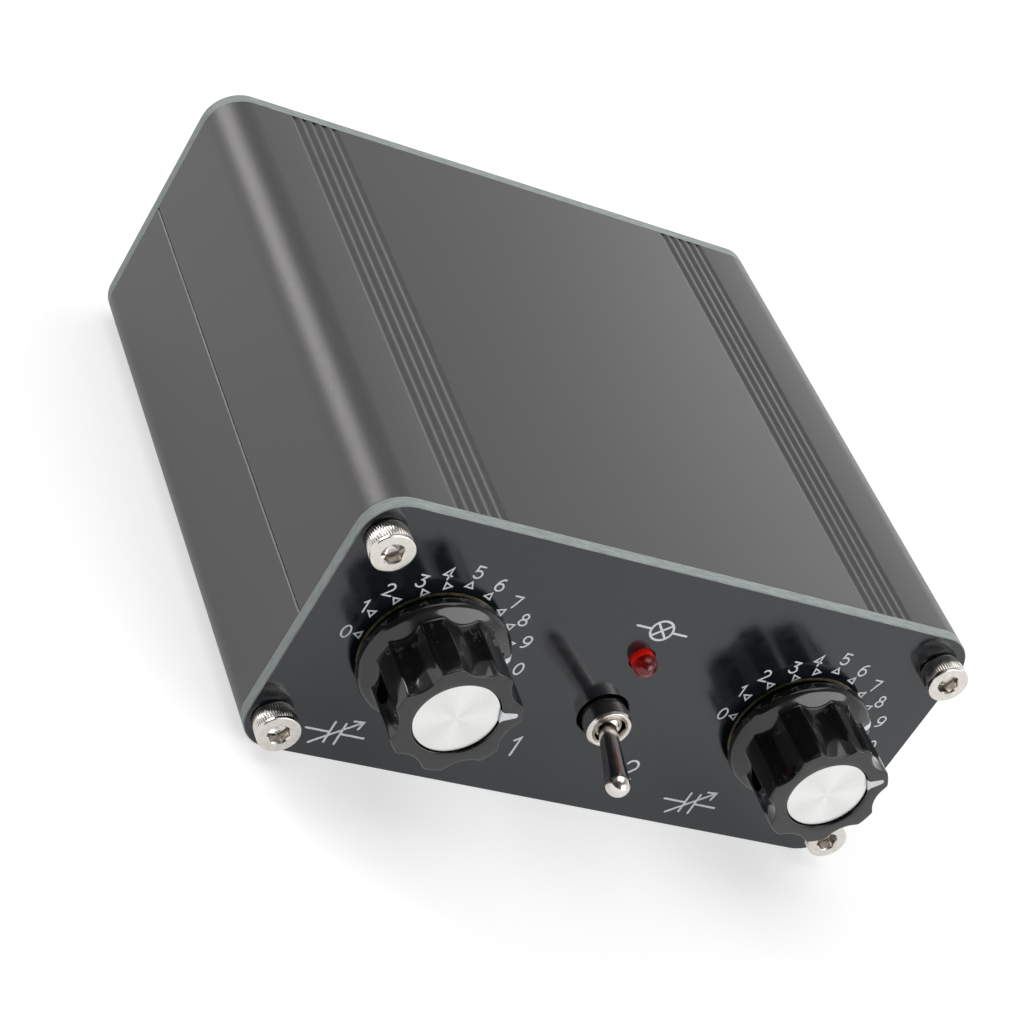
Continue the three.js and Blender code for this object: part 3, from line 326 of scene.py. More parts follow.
seam = case_height / 2 - seam_gap / 2
seam_start = [[half_width, seam - seam_chamfer], [half_width - seam_chamfer, seam]]
lip_low = half_width - wall
lip_side = lip_low + lip_thickness
lip_top = case_height / 2 + lip_height
cut_x = lip_side + seam_gap
cut_z = case_height / 2 - lip_height - seam_gap
add_shell("lower_shell_case", [*seam_start, [lip_side, seam], [lip_side, lip_top], [lip_low, lip_top]], False)
add_shell("upper_shell_case", [*seam_start, [cut_x, seam], [cut_x, cut_z], [lip_low, cut_z]], True)

# Panels: two sheets of circuit board laminate, milled to the case's outline. Their faces carry a glossy
# blue-black solder mask, and their cut outer edges show the pale glass fibre. The walls of their holes keep
# the black mask as painted shade. Screws hold them to the case's ends.
panel_thickness, panel_gap, panel_ease = 1.6, 0.1, 0.12
panel_back, panel_back_ease, rim_reach, edge_facing = half_length + 0.02, 0.03, 1.0, 0.9
screw_hole, shaft_hole, switch_hole, lamp_hole, socket_hole = 1.75, 3.7, 3.3, 1.6, 6.5
knob_x, socket_x, axis_z, switch_z, lamp_z = 27.0, 20.0, 19.0, 15.1, 24.5
panel_face = half_length + panel_gap + panel_thickness
screw_places = [(side * channel_x, z) for side in (-1, 1) for z in (channel_z, case_height - channel_z)]
mask = grained("glossy_solder_mask", 900, (0.006, 0.0075, 0.010), (0.010, 0.012, 0.015),
               roughness=(0.12, 0.19), bump=0.0008, IOR=1.5, Specular_Tint=(0.9, 0.94, 1, 1),
               Coat_Weight=0.25, Coat_Roughness=0.1)
laminate = grained("glass_fibre_edge", 700, (0.18, 0.21, 0.205), (0.34, 0.38, 0.37),
                   roughness=(0.5, 0.7), bump=0.01, stretch=(1, 5, 1), IOR=1.5)


def panel_loops(holes, inset):
    """A panel's rounded outline and its round holes, (x, z, radius) each, at an inset from its full size."""
    x, radius = half_width - corner_radius, corner_radius - inset
    top = case_height - corner_radius
    corners = [(x, top, 0), (-x, top, 90), (-x, corner_radius, 180), (x, corner_radius, 270)]
    outline = np.concatenate([arc(cx, cz, radius, turn, turn + 90, 20) for cx, cz, turn in corners])
    return [outline, *[circle(hx, hz, hole + inset, 48) for hx, hz, hole in holes]]


def read(elements, name, kind=float, width=3):
    """One attribute of all of a mesh's points, corners or faces, one row for each."""
    values = np.empty(len(elements) * width, kind)
    elements.foreach_get(name, values)
    return values.reshape(-1, width)


def add_panel(name, side, holes):
    """A panel from its outer face in to the case's end, on side -1 for the front and 1 for the rear, with
    eased edges. Faces that point outwards along the panel's rim show bare laminate."""
    levels = [(panel_face, panel_ease), (panel_face - panel_ease, 0),
              (panel_back + panel_back_ease, 0), (panel_back, panel_back_ease)]
    part = prism([(side * place, panel_loops(holes, inset)) for place, inset in levels])
    piece = made(f"{name}_laminate", [part], "case", mask, [name])
    piece.data.materials.append(laminate)
    faces = piece.data.polygons
    (nx, ny, nz), (x, _, z) = read(faces, "normal").T, read(faces, "center").T * 1000
    # Only the rim's outer faces get laminate: the holes' walls keep the black mask as painted shade.
    at_rim = (abs(x) > half_width - corner_radius) | (z < rim_reach) | (z > case_height - rim_reach)
    outwards = (nx * x + nz * (z - case_height / 2) > 0) & (abs(ny) < edge_facing)
    faces.foreach_set("material_index", (at_rim & outwards).astype(np.int32))


screw_holes = [(x, z, screw_hole) for x, z in screw_places]
add_panel("front_panel", -1, [
    *screw_holes, (-knob_x, axis_z, shaft_hole), (knob_x, axis_z, shaft_hole),
    (0, switch_z, switch_hole), (0, lamp_z, lamp_hole),
])
add_panel("rear_panel", 1, [
    *screw_holes, (-socket_x, axis_z, socket_hole), (socket_x, axis_z, socket_hole),
])

# Panel screws: eight M3 screws with hexagon sockets, nickel plated. The front ones have straight knurls round
# a tall head, and the rear ones a low domed head. Their shanks run into the case's screw channels.
head_radius, head_height, head_rim, head_ease, neck_inset = 2.68, 3.0, 0.55, 0.22, 0.1
rim_inset, rim_bevel, rim_groove, neck_foot, under_inset, under_ease = 0.02, 0.1, 0.04, 0.3, 0.2, 0.08
low_head_height, low_head_depth, dome_across, dome_along, dome_lean, dome_foot = 1.6, 0.9, 0.95, 1.3, 80, 0.2
knurl_count, knurl_depth, knurl_foot = 54, 0.07, 0.4
hex_across, hex_depth, hex_chamfer, chamfer_slope, mouth_land = 2.5, 1.6, 0.22, 0.9, 0.25
drill_point, drill_shoulder, drill_share = 0.5, 0.15, 0.7
shank_radius, shank_length, shank_pitch, shank_thread = 1.3, 8.0, 0.5, 0.12
shank_fillet, shank_plain, shank_point = 0.15, 0.3, 0.4
stop_by_side, stop_by_end = 17, 25


def eased(profile, radius):
    """Rounds each inner corner of an open line: a quadratic curve from a point short of the corner to a
    point past it, no longer than 45 in 100 of either side."""
    line = np.asarray(profile, float)
    corner = line[1:-1]
    to_last, to_next = line[:-2] - corner, line[2:] - corner
    length_last = np.linalg.norm(to_last, axis=1, keepdims=True)
    length_next = np.linalg.norm(to_next, axis=1, keepdims=True)
    start = corner + to_last * np.minimum(radius / length_last, 0.45)
    end = corner + to_next * np.minimum(radius / length_next, 0.45)
    t = np.linspace(0, 1, 4)[:, None, None]
    curve = (1 - t) ** 2 * start + 2 * t * (1 - t) * corner + t**2 * end
    return np.concatenate([line[:1], curve.transpose(1, 0, 2).reshape(-1, 2), line[-1:]])


def angles(sides):
    """Evenly spaced angles once round, from 0."""
    return np.linspace(0, 2 * np.pi, sides, endpoint=False)


def around(rows, sides):
    """A closed surface about the Y axis. Each row is a radius and a place on Y, both as one number or as one
    for each side: x is r cos a, y is the place and z is r sin a. Returns points and faces."""
    turn = angles(sides)
    radii, places = (np.array([np.broadcast_to(row[k], sides) for row in rows], float) for k in (0, 1))
    points = np.stack([radii * np.cos(turn), places, radii * np.sin(turn)], -1).reshape(-1, 3)
    return points, walls(len(rows), sides)


def thread(radius, depth, pitch, start, end, steps, sides):
    """Rows of a thread, with so many steps in a pitch: the radius dips by a raised cosine once in each pitch
    along the axis and once round it."""
    turn = angles(sides)
    return [(radius - depth * (0.5 - 0.5 * np.cos(2 * np.pi * y / pitch - turn)), y)
            for y in np.arange(start, end, pitch / steps)]


def set_at(part, x, y, z):
    """Moves a part's points."""
    points, faces = part
    return points + np.array([x, y, z], float), faces


def turned_about(part, axis, degrees):
    """Turns a part's points about an axis through the origin: 0, 1 or 2 for X, Y or Z."""
    points, faces = part
    c, s = math.cos(math.radians(degrees)), math.sin(math.radians(degrees))
    matrix = np.eye(3)
    i, j = [(1, 2), (2, 0), (0, 1)][axis]
    matrix[i, i], matrix[i, j], matrix[j, i], matrix[j, j] = c, -s, s, c
    return points @ matrix.T, faces


def hexagon(turn, across, ease=0.06):
    """Distance from the centre to a hexagon's side at each angle, with its corners slightly rounded."""
    folded = (turn + np.pi / 6) % (np.pi / 3) - np.pi / 6
    return across / 2 / np.cos(folded) - ease * (abs(folded) / (np.pi / 6)) ** 8


def screw(low_head):
    """A socket head screw with its head's underside at y = 0 and its head towards -Y. The hexagon, the
    knurls and the thread are waves in the radius round the axis, and the rest is turned. A tall head has
    knurls below a plain rim, and a low head is domed by most of a quarter oval."""
    sides = knurl_count * 8
    turn = angles(sides)
    face = -low_head_height if low_head else -head_height
    floor = face + (low_head_depth if low_head else hex_depth)
    socket = hexagon(turn, hex_across)
    mouth = hex_across / 2 + hex_chamfer
    neck, rim = head_radius - neck_inset, head_radius - rim_inset
    rows = [(0, floor + drill_point), (drill_share * socket, floor + drill_shoulder), (socket, floor),
            (socket, face + (mouth - socket) * chamfer_slope), (np.maximum(socket, mouth), face)]
    if low_head:
        lean = np.radians(np.linspace(0, dome_lean, 9))
        rows += zip(head_radius - dome_across + dome_across * np.sin(lean),
                    face + dome_along * (1 - np.cos(lean)))
        rows += [(head_radius, -dome_foot)]
    else:
        knurl = head_radius - knurl_depth * (0.5 - 0.5 * np.cos(knurl_count * turn))
        plain = [(mouth + mouth_land, face), (neck, face), (rim, face + rim_bevel),
                 (rim, face + head_rim - rim_bevel)]
        rows += [*eased(plain, head_ease), (neck, face + head_rim - rim_groove), (neck, face + head_rim),
                 (knurl, face + head_rim + rim_bevel), (knurl, -knurl_foot), (neck, -neck_foot)]
    rows += [(neck, -under_ease), (head_radius - under_inset, 0),
             (shank_radius + shank_fillet, 0), (shank_radius, shank_fillet),
             *thread(shank_radius, shank_thread, shank_pitch, shank_plain, shank_length - shank_point,
                     5, sides),
             (shank_radius - shank_point, shank_length), (0, shank_length)]
    return around(rows, sides)


nickel = grained("bright_nickel", 1500, (0.60, 0.57, 0.53), (0.72, 0.69, 0.65),
                 roughness=(0.14, 0.24), bump=0.002, Metallic=1.0)
for end, sign in (("front", -1), ("rear", 1)):
    for x, z in screw_places:
        # Each screw has stopped at another angle, and the rear ones point the other way.
        part = turned_about(screw(sign > 0), 1, stop_by_side * (x / channel_x) + stop_by_end * sign + z)
        if sign > 0:
            part = turned_about(part, 2, 180)
        node = f"{end}_screw_{'low' if z < axis_z else 'high'}_{'left' if x < 0 else 'right'}"
        made(f"{node}_m3", [set_at(part, x, sign * (panel_face + panel_gap), z)], "case", nickel, [node],
             sharp=40)

# Dial printing: white ink on the front panel, and a bare gilt ring round each knob's place. Each dial counts
# 0 to 9 and back to 0 over half a turn, with a small open triangle by each number. Plain circuit symbols name
# the knobs and the lamp, and 1 and 2 the switch's sides.
ink_width, ink_height, ink_step, sharpest_mitre = 0.23, 0.03, 0.003, 0.45
dial_z, number_height = 19.25, 1.75
number_places = [(180.7, 11.36), (160.4, 11.67), (143.5, 11.6), (124.5, 11.03), (108.4, 11.58), (90.8, 12.08),
                 (73.1, 11.52), (54.3, 11.3), (37.9, 11.36), (19.6, 11.75), (-0.6, 12.31)]
triangle_places = [
    (179.8, 9.7, 182), (160.7, 10.36, 161), (143, 9.82, 150), (123.2, 9.36, 136), (107.1, 9.9, 128),
    (91.4, 10.24, 87), (73.5, 9.8, 69), (54.1, 9.45, 51), (37.1, 9.75, 39), (20.6, 9.8, 20), (0, 9.9, 0),
]
triangle_reach, triangle_width = 0.57, 0.2
symbol_height, symbol_width = 3.0, 0.3
symbol_places = {"left_knob": (-32.0, 4.2), "right_knob": (20.0, 4.2), "lamp": (0, 29.2)}
side_number_x, side_number_z = 8.6, 7.6
gilt_ring_inside, gilt_ring_outside, gilt_ring_height = 8.5, 8.85, 0.02


def stroke(line, width, closed):
    """The outlines of a pen stroke. Its line is shifted half a width to both sides along the mitre of its
    corners, and an open line gets half-round ends. A closed one gives an outer and an inner outline."""
    if closed:
        last, following = np.roll(line, 1, 0), np.roll(line, -1, 0)
    else:
        last = np.concatenate([[2 * line[0] - line[1]], line[:-1]])
        following = np.concatenate([line[1:], [2 * line[-1] - line[-2]]])
    into, out = line - last, following - line
    into /= np.linalg.norm(into, axis=1, keepdims=True)
    out /= np.linalg.norm(out, axis=1, keepdims=True)
    mean = into + out
    mean /= np.linalg.norm(mean, axis=1, keepdims=True)
    side = np.column_stack([-mean[:, 1], mean[:, 0]])
    square = np.column_stack([-into[:, 1], into[:, 0]])
    reach = width / 2 / np.maximum(np.sum(side * square, axis=1, keepdims=True), sharpest_mitre)
    left, right = line + side * reach, line - side * reach
    if closed:
        return [left, right]
    ends = []
    for point, heading in ((line[-1], out[-1]), (line[0], -into[0])):
        angle = math.degrees(math.atan2(heading[1], heading[0]))
        ends.append(arc(*point, width / 2, angle - 90, angle + 90, 7)[1:-1])
    return [np.concatenate([right, ends[0], left[::-1], ends[1]])]


def oval(x, z, across, high):
    """A closed oval about (x, z), as a closed stroke."""
    turn = angles(28)
    return np.column_stack([x + across * np.cos(turn), z + high * np.sin(turn)]), True


def bent(x, z, across, high, start, end):
    """Part of an oval about (x, z), from one angle in degrees to another."""
    return arc(0, 0, 1, start, end, 18) * [across, high] + [x, z]


def pen(*paths):
    """An open stroke along points and bent paths, one after the other."""
    return np.concatenate([np.atleast_2d(path) for path in paths]), False


# Numbers and symbols are strokes about (0, 0), in shares of their height.
number_shares = [
    [oval(0, 0, 0.30, 0.50)],
    [pen((-0.16, 0.28), (0.06, 0.50), (0.06, -0.50))],
    [pen(bent(0, 0.22, 0.27, 0.28, 165, -38), (-0.30, -0.50), (0.30, -0.50))],
    [pen((-0.26, 0.50), (0.26, 0.50), (-0.03, 0.12), bent(-0.03, -0.19, 0.31, 0.31, 75, -150))],
    [pen((0.13, -0.50), (0.13, 0.50), (-0.30, -0.18), (0.32, -0.18))],
    [pen((0.25, 0.50), (-0.20, 0.50), (-0.24, 0.05), bent(-0.01, -0.18, 0.30, 0.32, 128, -145))],
    [oval(0, -0.19, 0.29, 0.31), pen(bent(0.22, -0.14, 0.50, 0.64, 92, 176))],
    [pen((-0.29, 0.50), (0.29, 0.50), (-0.10, -0.50))],
    [oval(0, 0.26, 0.22, 0.24), oval(0, -0.24, 0.29, 0.26)],
    [oval(0, 0.19, 0.29, 0.31), pen(bent(-0.22, 0.14, 0.50, 0.64, -88, -4))],
]
capacitor_shares = [
    pen((-1.3, 0), (-0.24, 0)), pen((-0.24, -0.55), (-0.24, 0.55)), pen((0.24, -0.55), (0.24, 0.55)),
    pen((0.24, 0), (1.3, 0)), pen((-0.85, -0.7), (0.92, 0.8)), pen((0.50, 0.76), (0.92, 0.8), (0.85, 0.40)),
]
lamp_shares = [
    oval(0, 0, 0.5, 0.5), pen((-0.34, -0.34), (0.34, 0.34)), pen((-0.34, 0.34), (0.34, -0.34)),
    pen((-1.2, 0), (-0.5, 0)), pen((0.5, 0), (1.2, 0)),
]


def printed(strokes, x, z, height, width):
    """Strokes given in shares of a height, set about (x, z) as thin raised ink on the front panel's face.
    Each stroke stands a little higher than the one before, so that crossing strokes share no face."""
    parts = []
    for k, (path, closed) in enumerate(strokes):
        loops = stroke(path * height + [x, z], width, closed)
        lift = ink_height + ink_step * k
        parts.append(prism([(-panel_face - lift, loops), (-panel_face + lift, loops)]))
    return parts


def dial(x):
    """One dial's numbers and triangles from the left over the top. The numbers stand upright, each at its own
    angle and distance, and each triangle also has the angle in which its tip points."""
    parts = []
    for k, ((angle, reach), (turn, out, lean)) in enumerate(zip(number_places, triangle_places)):
        place = arc(x, dial_z, reach, angle, angle, 1)[0]
        parts += printed(number_shares[k % 10], *place, number_height, ink_width)
        middle = arc(x, axis_z, out, turn, turn, 1)[0]
        corners = arc(*middle, triangle_reach, lean, lean + 240, 3)
        parts += printed([(corners, True)], 0, 0, 1, triangle_width)
    return parts


def gilt_ring(x):
    """A thin flat ring of bare metal about a knob's axis."""
    loops = [circle(x, axis_z, radius, 120) for radius in (gilt_ring_outside, gilt_ring_inside)]
    return prism([(-panel_face - gilt_ring_height, loops), (-panel_face + gilt_ring_height, loops)])


ink = grained("white_ink", 3000, (0.66, 0.68, 0.71), (0.82, 0.84, 0.87),
              roughness=(0.35, 0.55), bump=0.003, IOR=1.45)
bare_gilt = grained("bare_gilt_ring", 1500, (0.62, 0.52, 0.30), (0.76, 0.64, 0.38),
                    roughness=(0.42, 0.55), bump=0.004, Metallic=1.0)
knob_places = {"left": -knob_x, "right": knob_x}
for side, x in knob_places.items():
    made(f"{side}_dial_print", dial(x), "case", ink)
    made(f"{side}_gilt_ring", [gilt_ring(x)], "case", bare_gilt)
for name, place in symbol_places.items():
    shares = lamp_shares if name == "lamp" else capacitor_shares
    made(f"{name}_symbol", printed(shares, *place, symbol_height, symbol_width), "case", ink)
made("switch_side_numbers", [part for number, side in ((1, -1), (2, 1)) for part in printed(
    number_shares[number], side * side_number_x, side_number_z, symbol_height, symbol_width)], "case", ink)

# Knobs: two gloss black mouldings, each a seven-lobed grip on a round skirt, bored for the shaft and recessed
# for the disc. A set screw in the hollow opposite the pointer holds it.
knob_gap, knob_length = 1.2, 10.6
skirt_radius, skirt_face_radius, skirt_thickness, skirt_bevel = 9.28, 8.95, 1.4, 0.4
skirt_top_radius, skirt_rise, skirt_ease, cone_end, foot_fillet, foot_height = 7.0, 0.9, 0.16, 0.4, 0.3, 0.5
lobe_count, lobe_radius, hollow_depth, hollow_radius, ridge_softness = 7, 7.9, 0.85, 3.9, 0.3
hollow_flare, flare_start, top_ease, top_shares, steps_in_lobe = 0.2, 0.6, 0.2, (0.7, 0.35), 64
disc_radius, disc_clearance, disc_thickness, disc_inset = 5.2, 0.15, 0.5, 0.4
disc_bed, recess_ease, recess_bend = 0.1, 0.12, 0.03
bore_radius, bore_depth = 3.3, 7.8
set_screw_hole, set_screw_depth, set_screw_lift, speck_core_share = 1.8, 12.0, 4.4, 0.6
pointer_angles = {"left": 20.0, "right": 35.0}
knob_back = -panel_face - knob_gap
knob_top, skirt_front = knob_back - knob_length, knob_back - skirt_thickness


def grip_radius(turn, depth):
    """The grip's radius at each angle: the smaller of the lobes' circle and the hollows' circles, blended
    where they meet so that the ridge between them is slightly rounded. A lobe is centred on angle 0."""
    pitch = 2 * np.pi / lobe_count
    from_middle = (turn + pitch) % pitch - pitch / 2
    centre = lobe_radius - depth + hollow_radius
    inside = np.maximum(hollow_radius**2 - (centre * np.sin(from_middle)) ** 2, 0)
    hollow = centre * np.cos(from_middle) - np.sqrt(inside)
    hollow = np.where(inside > 0, hollow, lobe_radius + 3 * ridge_softness)
    blend = np.clip(0.5 + 0.5 * (hollow - lobe_radius) / ridge_softness, 0, 1)
    return hollow * (1 - blend) + lobe_radius * blend - ridge_softness * blend * (1 - blend)


def skirt_slope(radius):
    """Where the skirt's coned face stands on Y at a radius: it rises in a straight line from its edge."""
    share = np.clip((skirt_face_radius - radius) / (skirt_face_radius - skirt_top_radius), 0, 1)
    return skirt_front - skirt_rise * share


def knob():
    """A closed surface from the bore's end out over the back, the skirt, the grip's wall and the top face,
    and down the recess to its floor. Rows on the wall follow the grip's radius, and the others are round.
    Near the top the hollows deepen with the square of the height."""
    sides = lobe_count * steps_in_lobe
    turn = angles(sides)
    quarter = np.radians(np.linspace(0, 90, 6))
    skirt_inner = skirt_face_radius - cone_end
    bore_end = knob_back - bore_depth
    rows = [*eased([
        (0, bore_end), (bore_radius, bore_end), (bore_radius, knob_back), (skirt_radius, knob_back),
        (skirt_radius, skirt_front + skirt_bevel), (skirt_face_radius, skirt_front),
        (skirt_inner, skirt_slope(skirt_inner))], skirt_ease)]
    for a in quarter:
        foot = grip_radius(turn, hollow_depth) + foot_fillet * (1 - np.sin(a))
        rows.append((foot, skirt_slope(foot) - foot_fillet * (1 - np.cos(a))))
    low, high = skirt_front - skirt_rise - foot_height, knob_top + top_ease
    for share in np.linspace(0, 1, 16):
        flare = hollow_flare * (max(share - flare_start, 0) / (1 - flare_start)) ** 2
        rows.append((grip_radius(turn, hollow_depth + flare), low + (high - low) * share))
    grip = grip_radius(turn, hollow_depth + hollow_flare)
    rows += [(grip - top_ease * (1 - np.cos(a)), knob_top + top_ease * (1 - np.sin(a))) for a in quarter[1:]]
    rim, edge = rows[-1][0], disc_radius + disc_clearance
    rows += [(rim * share + edge * (1 - share), knob_top) for share in top_shares]
    recess_floor = knob_top + disc_inset + disc_thickness + disc_bed
    rows += [(edge + recess_ease, knob_top), (edge + recess_bend, knob_top + recess_bend),
             (edge, knob_top + recess_ease), (edge, recess_floor), (0, recess_floor)]
    return around(rows, sides)


def on_knob(part, side, y=0):
    """Turns a part from +X to a knob's pointer and moves it to the knob's axis."""
    return set_at(turned_about(part, 1, -pointer_angles[side]), knob_places[side], y, axis_z)


def drilled(piece, part):
    """Cuts a closed part out of a piece, which keeps its material and gets its sharp edges again."""
    cutter = made("cutter", [part], "case", piece.data.materials[0])
    cut = piece.modifiers.new("hole", "BOOLEAN")
    cut.operation, cut.solver, cut.object = "DIFFERENCE", "EXACT", cutter
    shown = piece.evaluated_get(bpy.context.evaluated_depsgraph_get())
    mesh = bpy.data.meshes.new_from_object(shown)
    piece.modifiers.clear()
    piece.data = mesh
    mesh.set_sharp_from_angle(angle=math.radians(32))
    bpy.data.objects.remove(cutter)


def dusted(material, scale, share, size, colour):
    """Adds sparse specks of dust: small balls about scattered points, of which only a share is kept. The
    size is the balls' radius as a share of the points' spacing."""
    tree = material.node_tree
    shader = tree.nodes["Principled BSDF"]
    place = add_node(tree, "TexCoord").outputs["Object"]
    scatter = add_node(tree, "TexVoronoi", {"Vector": place, "Scale": scale}).outputs
    draw = add_node(tree, "SeparateColor", {0: scatter["Color"]})
    kept = add_node(tree, "Math", {0: draw, 1: share}, operation="LESS_THAN")
    near = ranged(tree, scatter["Distance"], size, size * speck_core_share, 0, 1)
    speck = add_node(tree, "Math", {0: near, 1: kept}, operation="MULTIPLY")
    under = shader.inputs["Base Color"].links[0].from_socket
    over = add_node(tree, "Mix", {"Factor": speck, "A": under, "B": (*colour, 1)}, data_type="RGBA")
    feed(shader, {"Base Color": over.outputs["Result"]})


gloss_black = grained("gloss_black_moulding", 500, (0.006, 0.006, 0.0066), (0.0085, 0.0085, 0.009),
                      roughness=(0.08, 0.17), bump=0.0015, IOR=1.5, Coat_Weight=0.25, Coat_Roughness=0.04)
dusted(gloss_black, scale=1700, share=0.25, size=0.15, colour=(0.07, 0.07, 0.07))
for side in knob_places:
    piece = made(f"{side}_fluted_knob", [on_knob(knob(), side)], f"{side}_tuning", gloss_black,
                 [f"{side}_knob"], sharp=38)
    hole = around([(0, 0), (set_screw_hole, 0), (set_screw_hole, set_screw_depth), (0, set_screw_depth)], 40)
    drilled(piece, on_knob(turned_about(hole, 2, 90), side, knob_back - set_screw_lift))

# Knob discs: thin aluminium discs, spun on their faces to fine rings and pressed into the knobs' recesses.
# A painted sheen in their colour, a fan of light and dark sectors, stands in for a turned face's spread
# shine.
ring_pitch, ring_height, rings_inset, rim_width, rim_ease = 0.11, 0.003, 0.15, 0.12, 0.08
ring_scale, painted_sheen_sectors, painted_sheen_turn, painted_sheen_share = 11.0, 4.0, 0.6, 0.22


def disc():
    """A disc with slightly rounded rims whose face rises and falls in rings, a cosine of the radius."""
    face, back = knob_top + disc_inset, knob_top + disc_inset + disc_thickness
    radii = np.arange(0, disc_radius - rings_inset, ring_pitch / 4)
    rings = np.column_stack([radii, face + ring_height * np.cos(2 * np.pi * radii / ring_pitch)])
    rim = eased([(disc_radius - rim_width, face), (disc_radius, face), (disc_radius, back), (0, back)],
                rim_ease)
    return around(np.concatenate([rings, rim]), 96)


def centred_map(piece, x, z):
    """Gives a piece a UV map in millimetres from the point (x, z), seen along Y."""
    mesh = piece.data
    corners = read(mesh.loops, "vertex_index", np.int32, 1).ravel()
    flat = read(mesh.vertices, "co")[corners][:, [0, 2]] * 1000 - [x, z]
    mesh.uv_layers.new(name="from_middle").data.foreach_set("uv", flat.ravel())


# The tone is noise on the distance from the middle, for the rings, plus a painted sheen: a sine of the angle,
# once for each light sector.
spun = finish("spun_aluminium", Metallic=1.0)
tree = spun.node_tree
from_middle = add_node(tree, "TexCoord").outputs["UV"]
distance = add_node(tree, "VectorMath", {0: from_middle}, operation="LENGTH").outputs["Value"]
rings = add_node(tree, "TexNoise", {
    "Vector": add_node(tree, "CombineXYZ", {"X": distance}), "Scale": ring_scale, "Detail": noise_detail})
apart = add_node(tree, "SeparateXYZ", {0: from_middle}).outputs
angle = add_node(tree, "Math", {0: apart["Y"], 1: apart["X"]}, operation="ARCTAN2")
# Painted sheen: light and dark sectors put into the disc's colour.
painted_sheen = add_node(tree, "Math", {0: angle, 1: painted_sheen_sectors, 2: painted_sheen_turn}, operation="MULTIPLY_ADD")
painted_sheen = add_node(tree, "Math", {0: painted_sheen}, operation="SINE")
blend = add_node(tree, "Math", {0: painted_sheen, 1: painted_sheen_share, 2: rings}, operation="MULTIPLY_ADD")
feed(tree.nodes["Principled BSDF"], {
    "Base Color": toned(tree, blend, 0.15, (0.71, 0.705, 0.695), 0.85, (0.82, 0.815, 0.805)),
    "Roughness": ranged(tree, rings, 0, 1, 0.2, 0.34),
})
for side, x in knob_places.items():
    piece = made(f"{side}_spun_disc", [set_at(disc(), x, 0, axis_z)], f"{side}_tuning", spun,
                 [f"{side}_knob_disc"])
    centred_map(piece, x, axis_z)

# Pointers: a white line let into each knob's top face, from the disc to the grip's edge, and a short white
# mark over the skirt's bevel at the same angle.
pointer_start, pointer_waist, pointer_end = 5.15, 5.8, 7.25
foot_width, pointer_width, pointer_tip_width = 1.75, 1.1, 0.7
pointer_lift, pointer_sink = 0.03, 0.38
mark_start, mark_width, mark_lift, mark_sink, mark_overhang = 8.1, 0.85, 0.03, 0.06, 0.2


def pointer():
    """A tapered bar along +X on the knob's top face, with a half-round tip and a foot that widens towards the
    disc with the square of the distance from its waist."""
    share = np.linspace(1, 0, 7)
    foot = np.column_stack([pointer_waist + (pointer_start - pointer_waist) * share,
                            (pointer_width + (foot_width - pointer_width) * share**2) / 2])
    tip = arc(pointer_end - pointer_tip_width / 2, 0, pointer_tip_width / 2, -90, 90, 9)
    loops = [np.concatenate([foot * [1, -1], tip, foot[::-1]])]
    return prism([(knob_top - pointer_lift, loops), (knob_top + pointer_sink, loops)])


def skirt_mark():
    """A thin strip over the skirt's edge: a line along the skirt's profile, shifted out by the ink's height,
    with a rectangular section."""
    bevel_end = skirt_front + skirt_bevel
    line = eased([(mark_start, skirt_slope(mark_start)), (skirt_face_radius, skirt_front),
                  (skirt_radius, bevel_end), (skirt_radius, bevel_end + mark_overhang)], skirt_ease)
    along = np.gradient(line, axis=0)
    along /= np.linalg.norm(along, axis=1, keepdims=True)
    out = np.column_stack([along[:, 1], -along[:, 0]])
    corners = []
    for lift, side in ((mark_lift, -1), (mark_lift, 1), (-mark_sink, 1), (-mark_sink, -1)):
        corners.append(np.column_stack([line + out * lift, np.full(len(line), side * mark_width / 2)]))
    points = np.stack(corners, 1).reshape(-1, 3)
    return points, [*walls(len(line), 4), [3, 2, 1, 0], [len(points) - 4 + i for i in range(4)]]


for side in knob_places:
    parts = [on_knob(part, side) for part in (pointer(), skirt_mark())]
    made(f"{side}_pointer_mark", parts, f"{side}_tuning", ink)

# Shafts, set screws and variable capacitors: turned brass shafts, blackened steel screws, and clear housings
# with thin aluminium plates and vanes. They sit in the knobs and the case, and keep their solids.


def dress(material, *names):
    """Gives CAD nodes a material in place of their own."""
    for name in names:
        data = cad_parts[name].data
        data.materials.clear()
        data.materials.append(material)


brass = grained("turned_brass", 1800, (0.52, 0.36, 0.12), (0.66, 0.48, 0.19),
                roughness=(0.22, 0.36), bump=0.002, stretch=(1, 12, 1), Metallic=1.0)
blackened = grained("blackened_steel", 2200, (0.045, 0.045, 0.048), (0.085, 0.085, 0.09),
                    roughness=(0.28, 0.42), bump=0.002, Metallic=1.0)
vane_metal = grained("vane_aluminium", 900, (0.46, 0.47, 0.48), (0.60, 0.61, 0.62),
                     roughness=(0.28, 0.40), bump=0.002, stretch=(6, 1, 1), Metallic=1.0)
clear = grained("clear_moulding", 300, (0.78, 0.78, 0.72), (0.86, 0.86, 0.80),
                roughness=(0.12, 0.22), bump=0.004, IOR=1.49, Transmission_Weight=0.75)
for side in knob_places:
    dress(brass, f"{side}_shaft")
    dress(blackened, f"{side}_set_screw")
    dress(vane_metal, f"{side}_rotor", f"{side}_stator")
    dress(clear, f"{side}_capacitor_housing")

